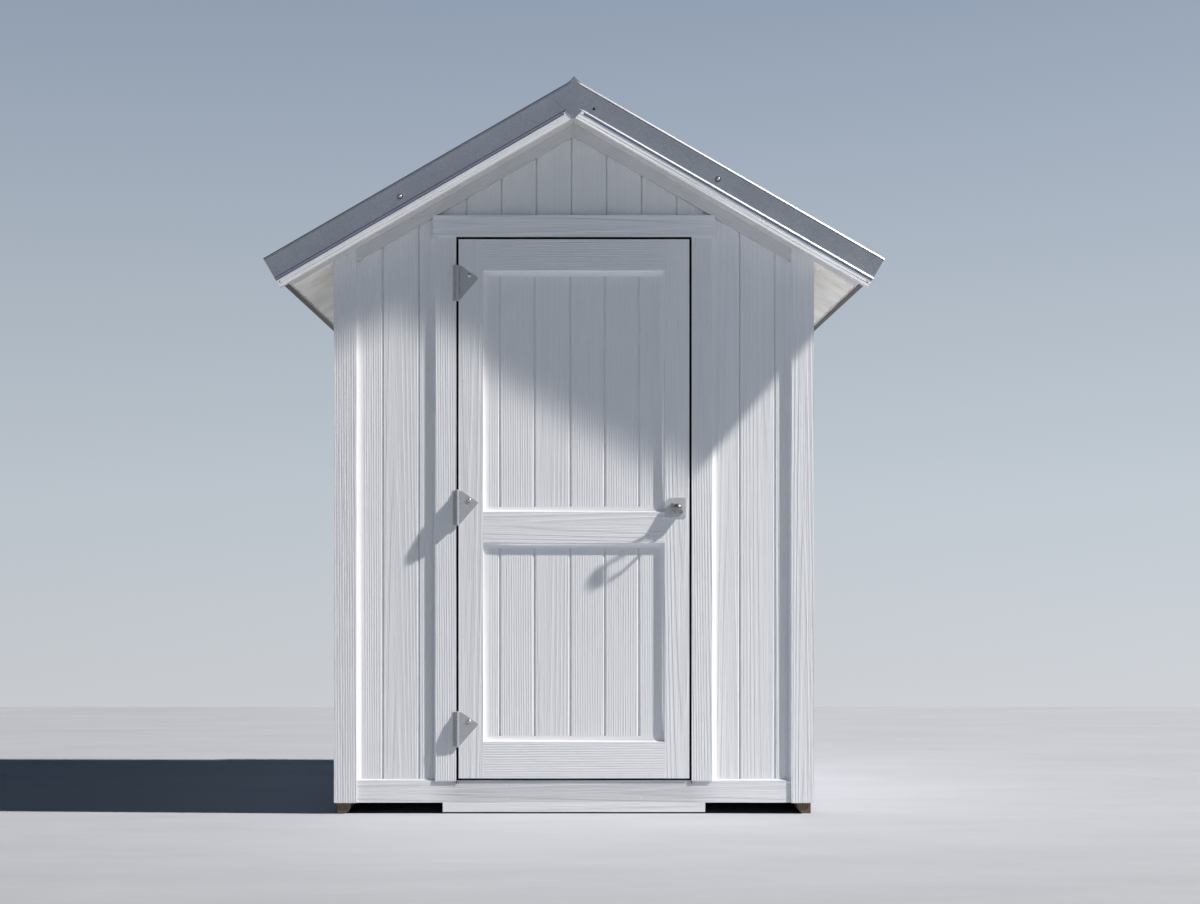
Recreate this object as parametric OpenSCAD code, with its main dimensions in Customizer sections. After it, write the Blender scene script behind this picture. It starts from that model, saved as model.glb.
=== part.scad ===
// Small gabled garden shed: vertical board walls on a timber frame, one framed
// and boarded door, and a ribbed galvanised roof with folded metal edges.
// The front faces -Y, +Z is up, and the origin is on the ground under the centre.

/* [Building] */
// Width over the corner boards
body_w = 1600; // [1400:10:2400]
// Depth over the wall boards, front to back
body_d = 1200; // [1000:10:2400]
// Height of the soffit where it meets the side walls
soffit_z = 1841; // [1760:5:2300]
// Slope of the roof in degrees
roof_pitch = 30; // [26:1:36]
// How far the roof runs out past the side walls, at its underside
eave_out = 168; // [120:5:300]

/* [Floor] */
// Width of a ground bearer
bearer_w = 45; // [38:1:75]
// Height of a ground bearer
bearer_h = 36; // [30:1:75]
// Radius of the rounded lower edge of a bearer
bearer_round = 25; // [5:1:28]
// How far the bearers run past the wall boards at each end
bearer_end = 6; // [0:1:12]
// Gap between a side bearer and the face of the corner boards
bearer_inset = 9; // [5:1:30]
// Height of a floor joist
joist_h = 45; // [38:1:95]
// Number of floor joists
joist_n = 5; // [3:1:9]
// Thickness of the floor boards
floor_t = 18; // [15:1:28]
// Width and depth of the doorstep
step_w = 876; // [600:2:1000]
step_d = 100; // [90:5:250]
// Height of the doorstep's underside above the ground
step_lift = 5; // [2:1:10]
// How far the doorstep stands out past the sill board
step_out = 2; // [0:1:60]

/* [Walls] */
// Thickness of the wall boards
wall_t = 18; // [12:1:25]
// Width and depth of a frame timber
frame_t = 45; // [38:1:63]
// Heights of the wall rails above the floor
rail_z = [600, 1200];
// Height of the tie rail across the back, above the floor
tie_z = 1680; // [1400:10:1700]
// Thickness of the corner boards, casings and other trim
trim_t = 18; // [12:1:25]
// Width of a corner board
corner_w = 75; // [60:1:120]
// Height of the sill board round the foot of the walls
sill_h = 74; // [60:1:120]
// Thickness of the sill board
sill_t = 10; // [8:1:18]
// How much of the raking trim shows under the roof
rake_show = 37; // [20:1:60]

/* [Door] */
// Width of the door leaf
door_w = 769; // [600:1:900]
// Height of the door leaf
door_h = 1797; // [1500:1:1850]
// Clearance round the door leaf
door_gap = 8; // [5:0.5:10]
// Thickness of the boards behind the door's frame
door_board_t = 12; // [10:1:14]
// Width of a door stile
stile_w = 82; // [60:1:120]
// Height of the top, middle and bottom rails of the door
top_rail_h = 103; // [60:1:150]
mid_rail_h = 104; // [60:1:150]
bottom_rail_h = 122; // [60:1:180]
// Height of the middle rail's lower edge above the foot of the leaf
mid_rail_z = 785; // [500:5:1100]
// How far the door posts and the lintel stop the leaf from behind
stop_w = 15; // [10:1:25]
// Width of a door casing
casing_w = 69; // [50:1:90]
// Height of the head casing
head_h = 72; // [60:1:75]
// How far the head casing runs past the side casings
head_over = 8.5; // [0:0.5:9]
// How far the head casing stands proud of the side casings
head_proud = 4; // [2:1:8]

/* [Hinges] */
// Height of the foot hinge and the middle hinge above the foot of the leaf
hinge_low = 164; // [120:1:250]
hinge_mid = 902; // [850:1:980]
// Distance of the top hinge below the head of the leaf
hinge_top = 147; // [120:1:250]
// Length and radius of the hinge barrel, and radius of its pin
barrel_l = 116; // [80:1:140]
barrel_r = 6.5; // [5:0.5:8]
pin_r = 3; // [2:0.25:4]
// Thickness of the hinge plates
hinge_t = 2; // [1.5:0.5:3]
// Reach of the plate on the door and of the plate on the casing
door_plate_l = 69; // [50:1:75]
frame_plate_l = 15; // [12:1:30]

/* [Latch] */
// Width, height and thickness of the latch plate
latch_w = 70; // [50:1:74]
latch_h = 66; // [50:1:90]
latch_t = 3; // [2:0.5:4]
// Distance of the latch plate from the edge of the leaf
latch_edge = 11.5; // [8:0.5:14]
// Height of the spindle above the foot of the leaf
latch_z = 900; // [820:5:1100]
// Cut-off corner of the latch plate
latch_clip = 16; // [5:1:20]
// How far the spindle lies beside and below the middle of the plate
knob_side = 5; // [0:1:10]
knob_low = 3; // [0:1:8]
// Radius of the spindle
spindle_r = 6; // [4:0.5:8]
// Radius and thickness of the knob
knob_r = 15.5; // [9:0.5:18]
knob_t = 12; // [8:1:16]
// How far the knob stands out from the plate
knob_out = 27; // [18:1:34]
// Length, width and thickness of the thumb lever
lever_l = 50; // [36:1:56]
lever_w = 11; // [8:1:14]
lever_t = 4; // [3:0.5:6]

/* [Roof] */
// Room for the ribbed metal above the roof boards
sheet_zone = 20; // [16:1:30]
// Thickness of the roof boards
roof_board_t = 16; // [12:1:22]
// Depth of a rafter
rafter_h = 62; // [50:1:95]
// Thickness of the soffit boards
soffit_t = 12; // [9:1:18]
// Number of rafter pairs on the walls
rafter_n = 4; // [3:1:8]
// Thickness and depth of the ridge board
ridge_t = 22; // [18:1:32]
ridge_h = 90; // [70:5:120]
// Thickness of the barge boards and the eave fascia
barge_t = 18; // [15:1:25]
// Thickness of the roof sheets, and of the folded flashings
sheet_t = 1; // [0.8:0.1:1.2]
flash_t = 1.2; // [1:0.1:1.6]
// Depth of the metal face on the barge boards
flash_face = 82; // [60:1:90]
// Width of the flashing's leg on top of the roof
flash_top = 122; // [80:1:160]
// Outward fold along the lower and the upper edge of the metal face
hem_out = 5; // [3:0.5:8]
hem_h = 6; // [4:0.5:10]
bead_out = 3; // [1:0.5:5]
bead_h = 4; // [3:0.5:8]
// How far the roof sheets run past the metal on the eave fascia
drip = 13; // [8:1:30]
// Base width, crest width and rough spacing of the ribs
rib_base = 54; // [40:1:80]
rib_crest = 26; // [15:1:35]
rib_pitch = 152; // [130:1:250]
// Length of each side of the ridge cap
cap_leg = 150; // [100:5:200]
// Side and thickness of the square plate on each apex
apex_side = 99; // [80:1:120]
apex_t = 1.5; // [1:0.5:3]

/* [Hidden] */
$fn = 48;
mitre = 0.5;         // half the open joint between two mitred pieces
cut_over = 1;        // how far a cut runs past a face
step_gap = 7;        // from the doorstep to the middle bearer
pin_fit = 0.1;       // radial clearance of the hinge pin and of the spindle
knuckles = 5;        // knuckles in a hinge barrel
knuckle_gap = 0.4;   // between two knuckles
plate_clear = 1;     // from a hinge plate to the other plate's knuckles
tab_lap = 1;         // how far a knuckle's strip runs into its plate
plate_foot = 5;      // from the barrel's foot to the foot of the door plate
plate_head = 2;      // from the barrel's head to the head of the door plate
foot_w = 2;          // width of the door plate's foot
head_w = 7;          // width of the door plate's head
tip_drop = 40;       // from the barrel's head to the door plate's tip
tip_h = 3;           // height of the tip's blunt end
spindle_gap = 0.3;   // from the stile to the end of the spindle
lever_turn = -39;    // slope of the thumb lever at rest
lever_lift = 1;      // from the latch plate to the lever
sheet_side = 1;      // from the side of a roof sheet to the barge board
flat_side = 12;      // flat strip between a sheet's side and its first rib
lap = 0.05;          // open joint between two layers of the roof
apex_drop = 62;      // from the roof line's apex to the middle of the apex plate
apex_gap = 0.3;      // from the flashing's fold to the apex plate

// Plan and heights
half_w = body_w / 2;
half_d = body_d / 2;
wall_x = half_w - trim_t;
frame_x = wall_x - wall_t;
frame_y = half_d - wall_t;
trim_y = half_d + trim_t;
sill_y = half_d + sill_t;
floor_z = bearer_h + joist_h + floor_t;
sill_z = bearer_h + sill_h;
leaf_z = sill_z + door_gap;
leaf_top = leaf_z + door_h;
open_z = leaf_top + door_gap;
open_x = door_w / 2 + door_gap;
casing_x = open_x + casing_w;
head_x = casing_x + head_over;
post_x = open_x - stop_w;
board_y = half_d - door_board_t;

// Roof: depths are measured square to the slope, down from the roof line, which
// is the outer face of the metal edge. Distances along it start at the apex.
deck_d = sheet_zone;
rafter_d = deck_d + roof_board_t;
soffit_d = rafter_d + rafter_h;
under_d = soffit_d + soffit_t;
rake_low_d = under_d + rake_show;
cap_d = flash_t + lap;
crest_d = cap_d + flash_t + lap;
ridge_z = soffit_z + half_w * tan(roof_pitch) + under_d / cos(roof_pitch);
roof_l = (half_w + eave_out + under_d * sin(roof_pitch)) / cos(roof_pitch);
fascia_out = roof_l - drip - flash_t;
fascia_in = fascia_out - barge_t;
verge_y = trim_y + frame_t;
barge_y = verge_y + barge_t;
flash_y = barge_y + flash_t;
apex_y = flash_y + hem_out + apex_gap;

// Hinges and latch, from the door leaf
hinge_x = -(door_w + door_gap) / 2;
hinge_y = -trim_y - barrel_r;
hinge_zs = [leaf_z + hinge_low, leaf_z + hinge_mid, leaf_top - hinge_top];
knuckle_l = barrel_l / knuckles;
latch_x = door_w / 2 - latch_edge - latch_w / 2;
knob_x = latch_x + knob_side;
knob_z = leaf_z + latch_z;

// A point of the right-hand slope, from its distance along it and its depth.
function on_roof(s, d) = [
    s * cos(roof_pitch) - d * sin(roof_pitch),
    ridge_z - s * sin(roof_pitch) - d * cos(roof_pitch)
];

// The point at a given depth that lies at a given x.
function roof_at(x, d) = [x, ridge_z - abs(x) * tan(roof_pitch) - d / cos(roof_pitch)];

// A box from its two opposite corners.
module block(low, high) {
    translate(low)
        cube(high - low);
}

// An outline in X and Z, drawn out from y0 to y1.
module along_y(y0, y1) {
    translate([0, y1, 0])
        rotate([90, 0, 0])
            linear_extrude(y1 - y0)
                children();
}

module left_too() {
    children();
    mirror([1, 0, 0])
        children();
}

module back_too() {
    children();
    mirror([0, 1, 0])
        children();
}

// A piece between two depths of the roof, cut plumb at x0 and square at s1.
module roof_piece(d0, d1, x0, s1, y0, y1) {
    along_y(y0, y1)
        polygon([roof_at(x0, d0), on_roof(s1, d0), on_roof(s1, d1), roof_at(x0, d1)]);
}

// An upright piece that ends under the roof at depth d.
module under_roof(x0, x1, z0, d, y0, y1) {
    along_y(y0, y1)
        polygon([[x0, z0], [x1, z0], roof_at(x1, d), roof_at(x0, d)]);
}

// Floor ---------------------------------------------------------------

module bearer(x, y0) {
    translate([x, 0, 0])
        along_y(y0, half_d + bearer_end)
            difference() {
                square([bearer_w, bearer_h]);
                difference() {
                    square(bearer_round);
                    translate([bearer_round, bearer_round])
                        circle(bearer_round);
                }
            }
}

module bearers() {
    color("peru") {
        left_too()
            bearer(half_w - bearer_inset - bearer_w, -half_d - bearer_end);
        bearer(-bearer_w / 2, step_d - sill_y - step_out + step_gap);
    }
}

module floor_joists() {
    spacing = (2 * frame_y - frame_t) / (joist_n - 1);
    color("burlywood")
        for (i = [0 : joist_n - 1])
            translate([-frame_x, i * spacing - frame_y, bearer_h])
                cube([2 * frame_x, frame_t, joist_h]);
}

module floor_deck() {
    color("burlywood")
        block([-frame_x, -frame_y, floor_z - floor_t], [frame_x, frame_y, floor_z]);
}

module doorstep() {
    front = -sill_y - step_out;
    color("white")
        block([-step_w / 2, front, step_lift], [step_w / 2, front + step_d, bearer_h]);
}

// Frame ---------------------------------------------------------------

// One level of timbers between the posts, on both sides, the back and the
// front beside the door.
module frame_level(z) {
    top = z + frame_t;
    inner_y = frame_y - frame_t;
    inner_x = frame_x - frame_t;
    left_too() {
        block([inner_x, -inner_y, z], [frame_x, inner_y, top]);
        block([post_x + frame_t, -frame_y, z], [inner_x, -inner_y, top]);
    }
    block([-inner_x, inner_y, z], [inner_x, frame_y, top]);
}

module bottom_plates() {
    color("burlywood")
        frame_level(floor_z);
}

module wall_rails() {
    inner_x = frame_x - frame_t;
    tie = floor_z + tie_z;
    color("burlywood") {
        for (z = rail_z)
            frame_level(floor_z + z);
        block([-inner_x, frame_y - frame_t, tie], [inner_x, frame_y, tie + frame_t]);
    }
}

module corner_posts() {
    color("burlywood")
        left_too()
            back_too()
                under_roof(frame_x - frame_t, frame_x, floor_z, soffit_d,
                           -frame_y, frame_t - frame_y);
}

module door_posts() {
    color("burlywood")
        left_too()
            under_roof(post_x, post_x + frame_t, floor_z, soffit_d,
                       -frame_y, frame_t - frame_y);
}

module door_lintel() {
    low = open_z - door_gap - stop_w;
    color("burlywood")
        block([-post_x, -frame_y, low], [post_x, frame_t - frame_y, low + frame_t]);
}

module top_plates() {
    low = roof_at(frame_x, soffit_d)[1] - frame_t;
    color("burlywood")
        left_too()
            under_roof(frame_x - frame_t, frame_x, low, soffit_d,
                       frame_t - frame_y, frame_y - frame_t);
}

// Walls ---------------------------------------------------------------

module front_side() {
    under_roof(open_x, wall_x, bearer_h, rafter_d, -half_d, -frame_y);
}

module front_wall_left() {
    color("gainsboro")
        mirror([1, 0, 0])
            front_side();
}

module front_wall_right() {
    color("gainsboro")
        front_side();
}

// A board wall over the whole gable, from z0 up to the roof boards.
module gable_wall(x, z0, y0, y1) {
    along_y(y0, y1)
        polygon([[-x, z0], [x, z0], roof_at(x, rafter_d), roof_at(0, rafter_d), roof_at(-x, rafter_d)]);
}

module front_gable() {
    color("gainsboro")
        gable_wall(open_x, open_z, -half_d, -frame_y);
}

module back_wall() {
    color("gainsboro")
        gable_wall(wall_x, bearer_h, frame_y, half_d);
}

module side_wall() {
    under_roof(frame_x, wall_x, bearer_h, soffit_d, -frame_y, frame_y);
}

module left_wall() {
    color("gainsboro")
        mirror([1, 0, 0])
            side_wall();
}

module right_wall() {
    color("gainsboro")
        side_wall();
}

// Trim ----------------------------------------------------------------

module sill_boards() {
    end_x = half_w - corner_w;
    side_y = trim_y - corner_w;
    color("white") {
        back_too()
            block([-end_x, -sill_y, bearer_h], [end_x, -half_d, sill_z]);
        left_too()
            block([wall_x, -side_y, bearer_h], [wall_x + sill_t, side_y, sill_z]);
    }
}

module corner_boards_ends() {
    color("white")
        left_too()
            back_too()
                under_roof(half_w - corner_w, half_w, bearer_h, rafter_d, -trim_y, -half_d);
}

module corner_boards_sides() {
    color("white")
        left_too()
            back_too()
                under_roof(wall_x, half_w, bearer_h, soffit_d, -half_d, corner_w - trim_y);
}

module head_shape() {
    block([-head_x, -trim_y - head_proud, open_z], [head_x, -half_d, open_z + head_h]);
}

module rake_trim(y0, y1) {
    end_x = half_w - corner_w;
    along_y(y0, y1)
        polygon([roof_at(mitre, rafter_d), roof_at(end_x, rafter_d),
                 roof_at(end_x, rake_low_d), roof_at(mitre, rake_low_d)]);
}

module rake_trims() {
    color("white")
        left_too() {
            difference() {
                rake_trim(-trim_y, -half_d);
                head_shape();
            }
            rake_trim(half_d, trim_y);
        }
}

module side_casing() {
    block([open_x, -trim_y, sill_z], [casing_x, -half_d, open_z]);
}

module door_casing_left() {
    color("white")
        mirror([1, 0, 0])
            side_casing();
}

module door_casing_right() {
    color("white")
        side_casing();
}

module door_casing_head() {
    color("white")
        head_shape();
}

// Roof ----------------------------------------------------------------

module ridge_board() {
    top = roof_at(ridge_t / 2, rafter_d)[1];
    color("burlywood")
        block([-ridge_t / 2, -frame_y, top - ridge_h], [ridge_t / 2, frame_y, top]);
}

module rafters() {
    spacing = (2 * frame_y - frame_t) / (rafter_n - 1);
    color("burlywood")
        left_too()
            for (i = [0 : rafter_n - 1])
                roof_piece(rafter_d, soffit_d, ridge_t / 2, fascia_in,
                           i * spacing - frame_y, i * spacing - frame_y + frame_t);
}

module verge_rafters() {
    color("white")
        left_too()
            back_too()
                roof_piece(rafter_d, under_d, mitre, fascia_in, -verge_y, -trim_y);
}

module roof_boards() {
    roof_piece(deck_d + lap, rafter_d - lap, 0, fascia_out - lap, -verge_y, verge_y);
}

module roof_boards_left() {
    color("burlywood")
        mirror([1, 0, 0])
            roof_boards();
}

module roof_boards_right() {
    color("burlywood")
        roof_boards();
}

module soffits() {
    top_d = soffit_d + lap;
    color("white")
        left_too()
            along_y(-trim_y, trim_y)
                polygon([roof_at(half_w, top_d), on_roof(fascia_in, top_d),
                         on_roof(fascia_in, under_d), roof_at(half_w, under_d)]);
}

// A piece between two depths of the roof, cut square at both ends.
module eave_piece(d0, d1, s0, s1) {
    along_y(-verge_y, verge_y)
        polygon([on_roof(s0, d0), on_roof(s1, d0), on_roof(s1, d1), on_roof(s0, d1)]);
}

module eave_fascias() {
    color("white")
        left_too()
            eave_piece(rafter_d, under_d - flash_t - lap, fascia_in + lap, fascia_out - lap);
}

module eave_flashings() {
    face = fascia_out + flash_t;
    color("silver")
        left_too() {
            eave_piece(deck_d + lap, under_d, fascia_out, face);
            eave_piece(under_d - flash_t, under_d, fascia_in, face);
        }
}

module barge_boards() {
    color("white")
        left_too()
            back_too()
                roof_piece(crest_d, under_d, mitre, roof_l, -barge_y, -verge_y);
}

// The metal edge: a face on the barge board, a leg on the roof, an outward fold
// along the foot of the face and a small one along its head.
module verge_flashing() {
    hem_d = flash_face - hem_h;
    roof_piece(0, flash_face, mitre, roof_l, -flash_y, -barge_y);
    roof_piece(0, flash_t, mitre, roof_l, -flash_y, flash_top - flash_y);
    roof_piece(hem_d, flash_face, mitre, roof_l, -flash_y - hem_out, -barge_y);
    roof_piece(0, bead_h, mitre, roof_l, -flash_y - bead_out, -barge_y);
}

module verge_flashings() {
    color("silver")
        left_too()
            back_too()
                verge_flashing();
}

// Rises and falls of one rib, from its middle: [across, height].
function rib(y, h, lift) = [
    [y - rib_base / 2, lift],
    [y - rib_crest / 2, h + lift],
    [y + rib_crest / 2, h + lift],
    [y + rib_base / 2, lift]
];

module roof_sheet() {
    edge = verge_y - sheet_side;
    first = edge - rib_base / 2 - flat_side;
    n = round(2 * first / rib_pitch);
    h = deck_d - crest_d - sheet_t;
    ribs = [for (i = [0 : n]) i * 2 * first / n - first];
    top = [for (y = ribs) each rib(y, h, sheet_t)];
    low = [for (i = [n : -1 : 0]) let (r = rib(ribs[i], h, 0)) each [r[3], r[2], r[1], r[0]]];
    start = (mitre + deck_d * sin(roof_pitch)) / cos(roof_pitch);
    translate([on_roof(start, deck_d)[0], 0, on_roof(start, deck_d)[1]])
        rotate([0, roof_pitch, 0])
            rotate([90, 0, 90])
                linear_extrude(roof_l - start)
                    polygon(concat([[-edge, 0], [-edge, sheet_t]], top,
                                   [[edge, sheet_t], [edge, 0]], low));
}

module roof_sheet_left() {
    color("silver")
        mirror([1, 0, 0])
            roof_sheet();
}

module roof_sheet_right() {
    color("silver")
        roof_sheet();
}

module ridge_cap() {
    color("silver")
        left_too()
            roof_piece(cap_d, cap_d + flash_t, 0, cap_leg, lap - barge_y, barge_y - lap);
}

module apex_plates() {
    color("silver")
        back_too()
            translate([0, -apex_y, ridge_z - apex_drop])
                rotate([90, 45, 0])
                    translate([-apex_side / 2, -apex_side / 2, 0])
                        cube([apex_side, apex_side, apex_t]);
}

// Door ----------------------------------------------------------------

module door_boards() {
    color("gainsboro")
        block([-door_w / 2, -half_d, leaf_z], [door_w / 2, -board_y, leaf_top]);
}

module stile() {
    block([door_w / 2 - stile_w, -trim_y, leaf_z], [door_w / 2, -half_d, leaf_top]);
}

module door_stile_left() {
    color("white")
        mirror([1, 0, 0])
            stile();
}

module door_stile_right() {
    color("white")
        stile();
}

module door_rail(z, h) {
    x = door_w / 2 - stile_w;
    block([-x, -trim_y, z], [x, -half_d, z + h]);
}

module door_rails() {
    color("white") {
        door_rail(leaf_z, bottom_rail_h);
        door_rail(leaf_z + mid_rail_z, mid_rail_h);
        door_rail(leaf_top - top_rail_h, top_rail_h);
    }
}

// Hinges --------------------------------------------------------------

// Places children at the foot of every second knuckle, from the first one given.
module at_knuckles(first) {
    for (i = [first : 2 : knuckles - 1])
        translate([0, 0, i * knuckle_l - barrel_l / 2 + knuckle_gap / 2])
            children();
}

// The strip that ties a plate to its own knuckles, to the right of the pin.
module knuckle_tabs(first) {
    at_knuckles(first)
        translate([0, barrel_r - hinge_t, 0])
            cube([barrel_r + plate_clear + tab_lap, hinge_t, knuckle_l - knuckle_gap]);
}

module at_hinges() {
    for (z = hinge_zs)
        translate([hinge_x, hinge_y, z])
            children();
}

module hinge_frame_plates() {
    start = barrel_r + plate_clear;
    color("silver")
        at_hinges() {
            at_knuckles(0)
                cylinder(h = knuckle_l - knuckle_gap, r = barrel_r);
            translate([0, 0, -barrel_l / 2])
                cylinder(h = barrel_l, r = pin_r);
            mirror([1, 0, 0]) {
                knuckle_tabs(0);
                translate([start, barrel_r - hinge_t, -barrel_l / 2])
                    cube([frame_plate_l - start, hinge_t, barrel_l]);
            }
        }
}

// The plate on the door: a lop-sided triangle with its tip towards the leaf.
module door_plate_shape() {
    start = barrel_r + plate_clear;
    foot = plate_foot - barrel_l / 2;
    head = barrel_l / 2 - plate_head;
    tip = barrel_l / 2 - tip_drop;
    polygon([[start, foot], [start + foot_w, foot], [door_plate_l, tip - tip_h],
             [door_plate_l, tip], [start + head_w, head], [start, head]]);
}

module hinge_door_plates() {
    color("silver")
        at_hinges() {
            at_knuckles(1)
                difference() {
                    cylinder(h = knuckle_l - knuckle_gap, r = barrel_r);
                    translate([0, 0, -cut_over])
                        cylinder(h = knuckle_l + 2 * cut_over, r = pin_r + pin_fit);
                }
            knuckle_tabs(1);
            along_y(barrel_r - hinge_t, barrel_r)
                door_plate_shape();
        }
}

// Latch ---------------------------------------------------------------

module latch_plate() {
    color("silver")
        translate([latch_x, 0, knob_z + knob_low])
            difference() {
                along_y(-trim_y - latch_t, -trim_y)
                    polygon([[-latch_w / 2, -latch_h / 2], [latch_w / 2, -latch_h / 2],
                             [latch_w / 2, latch_h / 2], [latch_clip - latch_w / 2, latch_h / 2],
                             [-latch_w / 2, latch_h / 2 - latch_clip]]);
                translate([knob_side, cut_over - trim_y, -knob_low])
                    rotate([90, 0, 0])
                        cylinder(h = latch_t + 2 * cut_over, r = spindle_r + pin_fit);
            }
}

// A turned knob on a spindle, with a flat thumb lever behind it.
module latch_handle() {
    knob_end = latch_t + knob_out;
    color("silver")
        translate([knob_x, -trim_y, knob_z])
            rotate([90, 0, 0]) {
                translate([0, 0, spindle_gap])
                    cylinder(h = knob_end - spindle_gap, r = spindle_r);
                translate([0, 0, knob_end - knob_t])
                    cylinder(h = knob_t, r = knob_r);
                rotate([0, 0, lever_turn])
                    translate([-lever_l / 2, -lever_w / 2, latch_t + lever_lift])
                        cube([lever_l, lever_w, lever_t]);
            }
}

bearers();
floor_joists();
floor_deck();
doorstep();
bottom_plates();
corner_posts();
door_posts();
door_lintel();
wall_rails();
top_plates();
front_wall_left();
front_wall_right();
front_gable();
back_wall();
left_wall();
right_wall();
sill_boards();
corner_boards_ends();
corner_boards_sides();
rake_trims();
door_casing_left();
door_casing_right();
door_casing_head();
hinge_frame_plates();
ridge_board();
rafters();
verge_rafters();
roof_boards_left();
roof_boards_right();
soffits();
eave_fascias();
barge_boards();
roof_sheet_left();
roof_sheet_right();
ridge_cap();
verge_flashings();
eave_flashings();
apex_plates();
door_boards();
door_stile_left();
door_stile_right();
door_rails();
hinge_door_plates();
latch_plate();
latch_handle();
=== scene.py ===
"""Looks for a small gabled garden shed, built up in the order it is put together."""
import math
import random

import bmesh
import bpy
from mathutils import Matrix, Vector


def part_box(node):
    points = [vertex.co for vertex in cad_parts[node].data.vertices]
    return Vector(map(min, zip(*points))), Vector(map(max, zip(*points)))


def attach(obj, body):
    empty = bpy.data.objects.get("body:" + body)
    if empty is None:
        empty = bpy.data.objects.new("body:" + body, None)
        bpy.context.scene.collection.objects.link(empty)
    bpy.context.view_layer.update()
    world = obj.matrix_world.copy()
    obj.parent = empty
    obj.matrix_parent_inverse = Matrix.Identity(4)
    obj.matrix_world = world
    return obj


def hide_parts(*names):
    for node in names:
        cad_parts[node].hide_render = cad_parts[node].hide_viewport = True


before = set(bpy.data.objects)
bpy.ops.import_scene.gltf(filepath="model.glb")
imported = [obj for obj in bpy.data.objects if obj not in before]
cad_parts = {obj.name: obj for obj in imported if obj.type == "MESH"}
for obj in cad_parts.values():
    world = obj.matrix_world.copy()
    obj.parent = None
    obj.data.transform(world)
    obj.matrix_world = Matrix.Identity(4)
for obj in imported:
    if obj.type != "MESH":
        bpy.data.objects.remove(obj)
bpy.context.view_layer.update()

scene = bpy.context.scene


# Camera --------------------------------------------------------------
# Five metres in front of the trim, at waist height, and level, so that upright lines
# stay upright. The lens is shifted up to take in the roof, and a little to the right.

trim_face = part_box("door_stile_left")[0].y
camera_data = bpy.data.cameras.new("camera")
camera_data.sensor_width = 36
camera_data.lens = 45
camera_data.shift_x = 0.0217
camera_data.shift_y = 0.084
camera = bpy.data.objects.new("camera", camera_data)
camera.location = (0, trim_face - 5.0, 0.87)
camera.rotation_euler = (math.radians(90), 0, 0)
scene.collection.objects.link(camera)
scene.camera = camera
scene.view_settings.view_transform = "Standard"


# Ground bearers ------------------------------------------------------
# Three rough-sawn softwood bearers, pressure-treated brown, that carry the floor.
# Their lower edge is rounded, and the cut ends show the rings of the log.

pick = random.Random(23)


def linear(colour):
    """An sRGB hex colour as linear RGBA."""
    parts = [int(colour[i:i + 2], 16) / 255 for i in (1, 3, 5)]
    return [c / 12.92 if c <= 0.04045 else ((c + 0.055) / 1.055) ** 2.4 for c in parts] + [1]


def feed(tree, target, inputs):
    """Sets a node's inputs: each takes a value, a hex colour, a socket or a node's first output."""
    for name, value in inputs.items():
        if isinstance(value, bpy.types.Node):
            value = value.outputs[0]
        if isinstance(value, bpy.types.NodeSocket):
            tree.links.new(value, target.inputs[name])
        else:
            target.inputs[name].default_value = linear(value) if isinstance(value, str) else value


def add(tree, kind, inputs={}, stops=(), **settings):
    """Adds a node with its settings and links; stops are a ramp's (place, colour) pairs."""
    made = tree.nodes.new(kind)
    for name, value in settings.items():
        setattr(made, name, value)
    for index, (place, colour) in enumerate(stops):
        ramp = made.color_ramp.elements
        stop = ramp[index] if index < 2 else ramp.new(place)
        stop.position = place
        stop.color = linear(colour)
    feed(tree, made, inputs)
    return made


def new_finish(name):
    """A material with its node tree and its shader."""
    made = bpy.data.materials.new(name)
    made.use_nodes = True
    return made, made.node_tree, made.node_tree.nodes["Principled BSDF"]


def figure(tree, ring, fibre, waver=4.0):
    """Latewood rings and fibres of sawn wood, from each point's place in its log."""
    log = add(tree, "ShaderNodeAttribute", attribute_name="log")
    along = add(tree, "ShaderNodeVectorMath", {0: log.outputs["Vector"], 1: (1, 1, 0.025)},
                operation="MULTIPLY")
    # A wave texture at scale 1 turns once in tau / 20 metres.
    rings = add(tree, "ShaderNodeTexWave",
                {"Vector": along, "Scale": math.tau / 20 / ring, "Distortion": waver,
                 "Detail": 2.0, "Detail Scale": 0.5, "Detail Roughness": 0.6},
                wave_type="RINGS", rings_direction="Z", wave_profile="SAW")
    late = add(tree, "ShaderNodeValToRGB", {"Fac": rings.outputs["Fac"]},
               stops=[(0.30, "#000000"), (0.86, "#FFFFFF"), (1.0, "#000000")])
    fibres = add(tree, "ShaderNodeTexNoise",
                 {"Vector": along, "Scale": 1 / fibre, "Detail": 4.0, "Roughness": 0.65})
    return late, fibres


def in_log(corner, along, across, width):
    """A random place in a log for a board: gives each point's place from the pith."""
    face = along.cross(across)
    flat = pick.random() < 0.55
    aside = width * pick.uniform(0.2, 0.8) if flat else width + pick.uniform(0.04, 0.12)
    below = pick.uniform(0.03, 0.07) if flat else pick.uniform(0.0, 0.04)
    lean = pick.choice((-1, 1)) * pick.uniform(0.004, 0.016)
    drift = pick.uniform(-0.006, 0.006)
    start = pick.uniform(0, 60)

    def place(point):
        offset = point - corner
        far = offset.dot(along)
        return (offset.dot(across) - aside - drift * far, offset.dot(face) + below + lean * far, start + far)
    return place


def new_stock():
    """Like pieces on their way to one joined mesh."""
    return {"points": [], "faces": [], "log": [], "tone": [], "finish": []}


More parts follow.
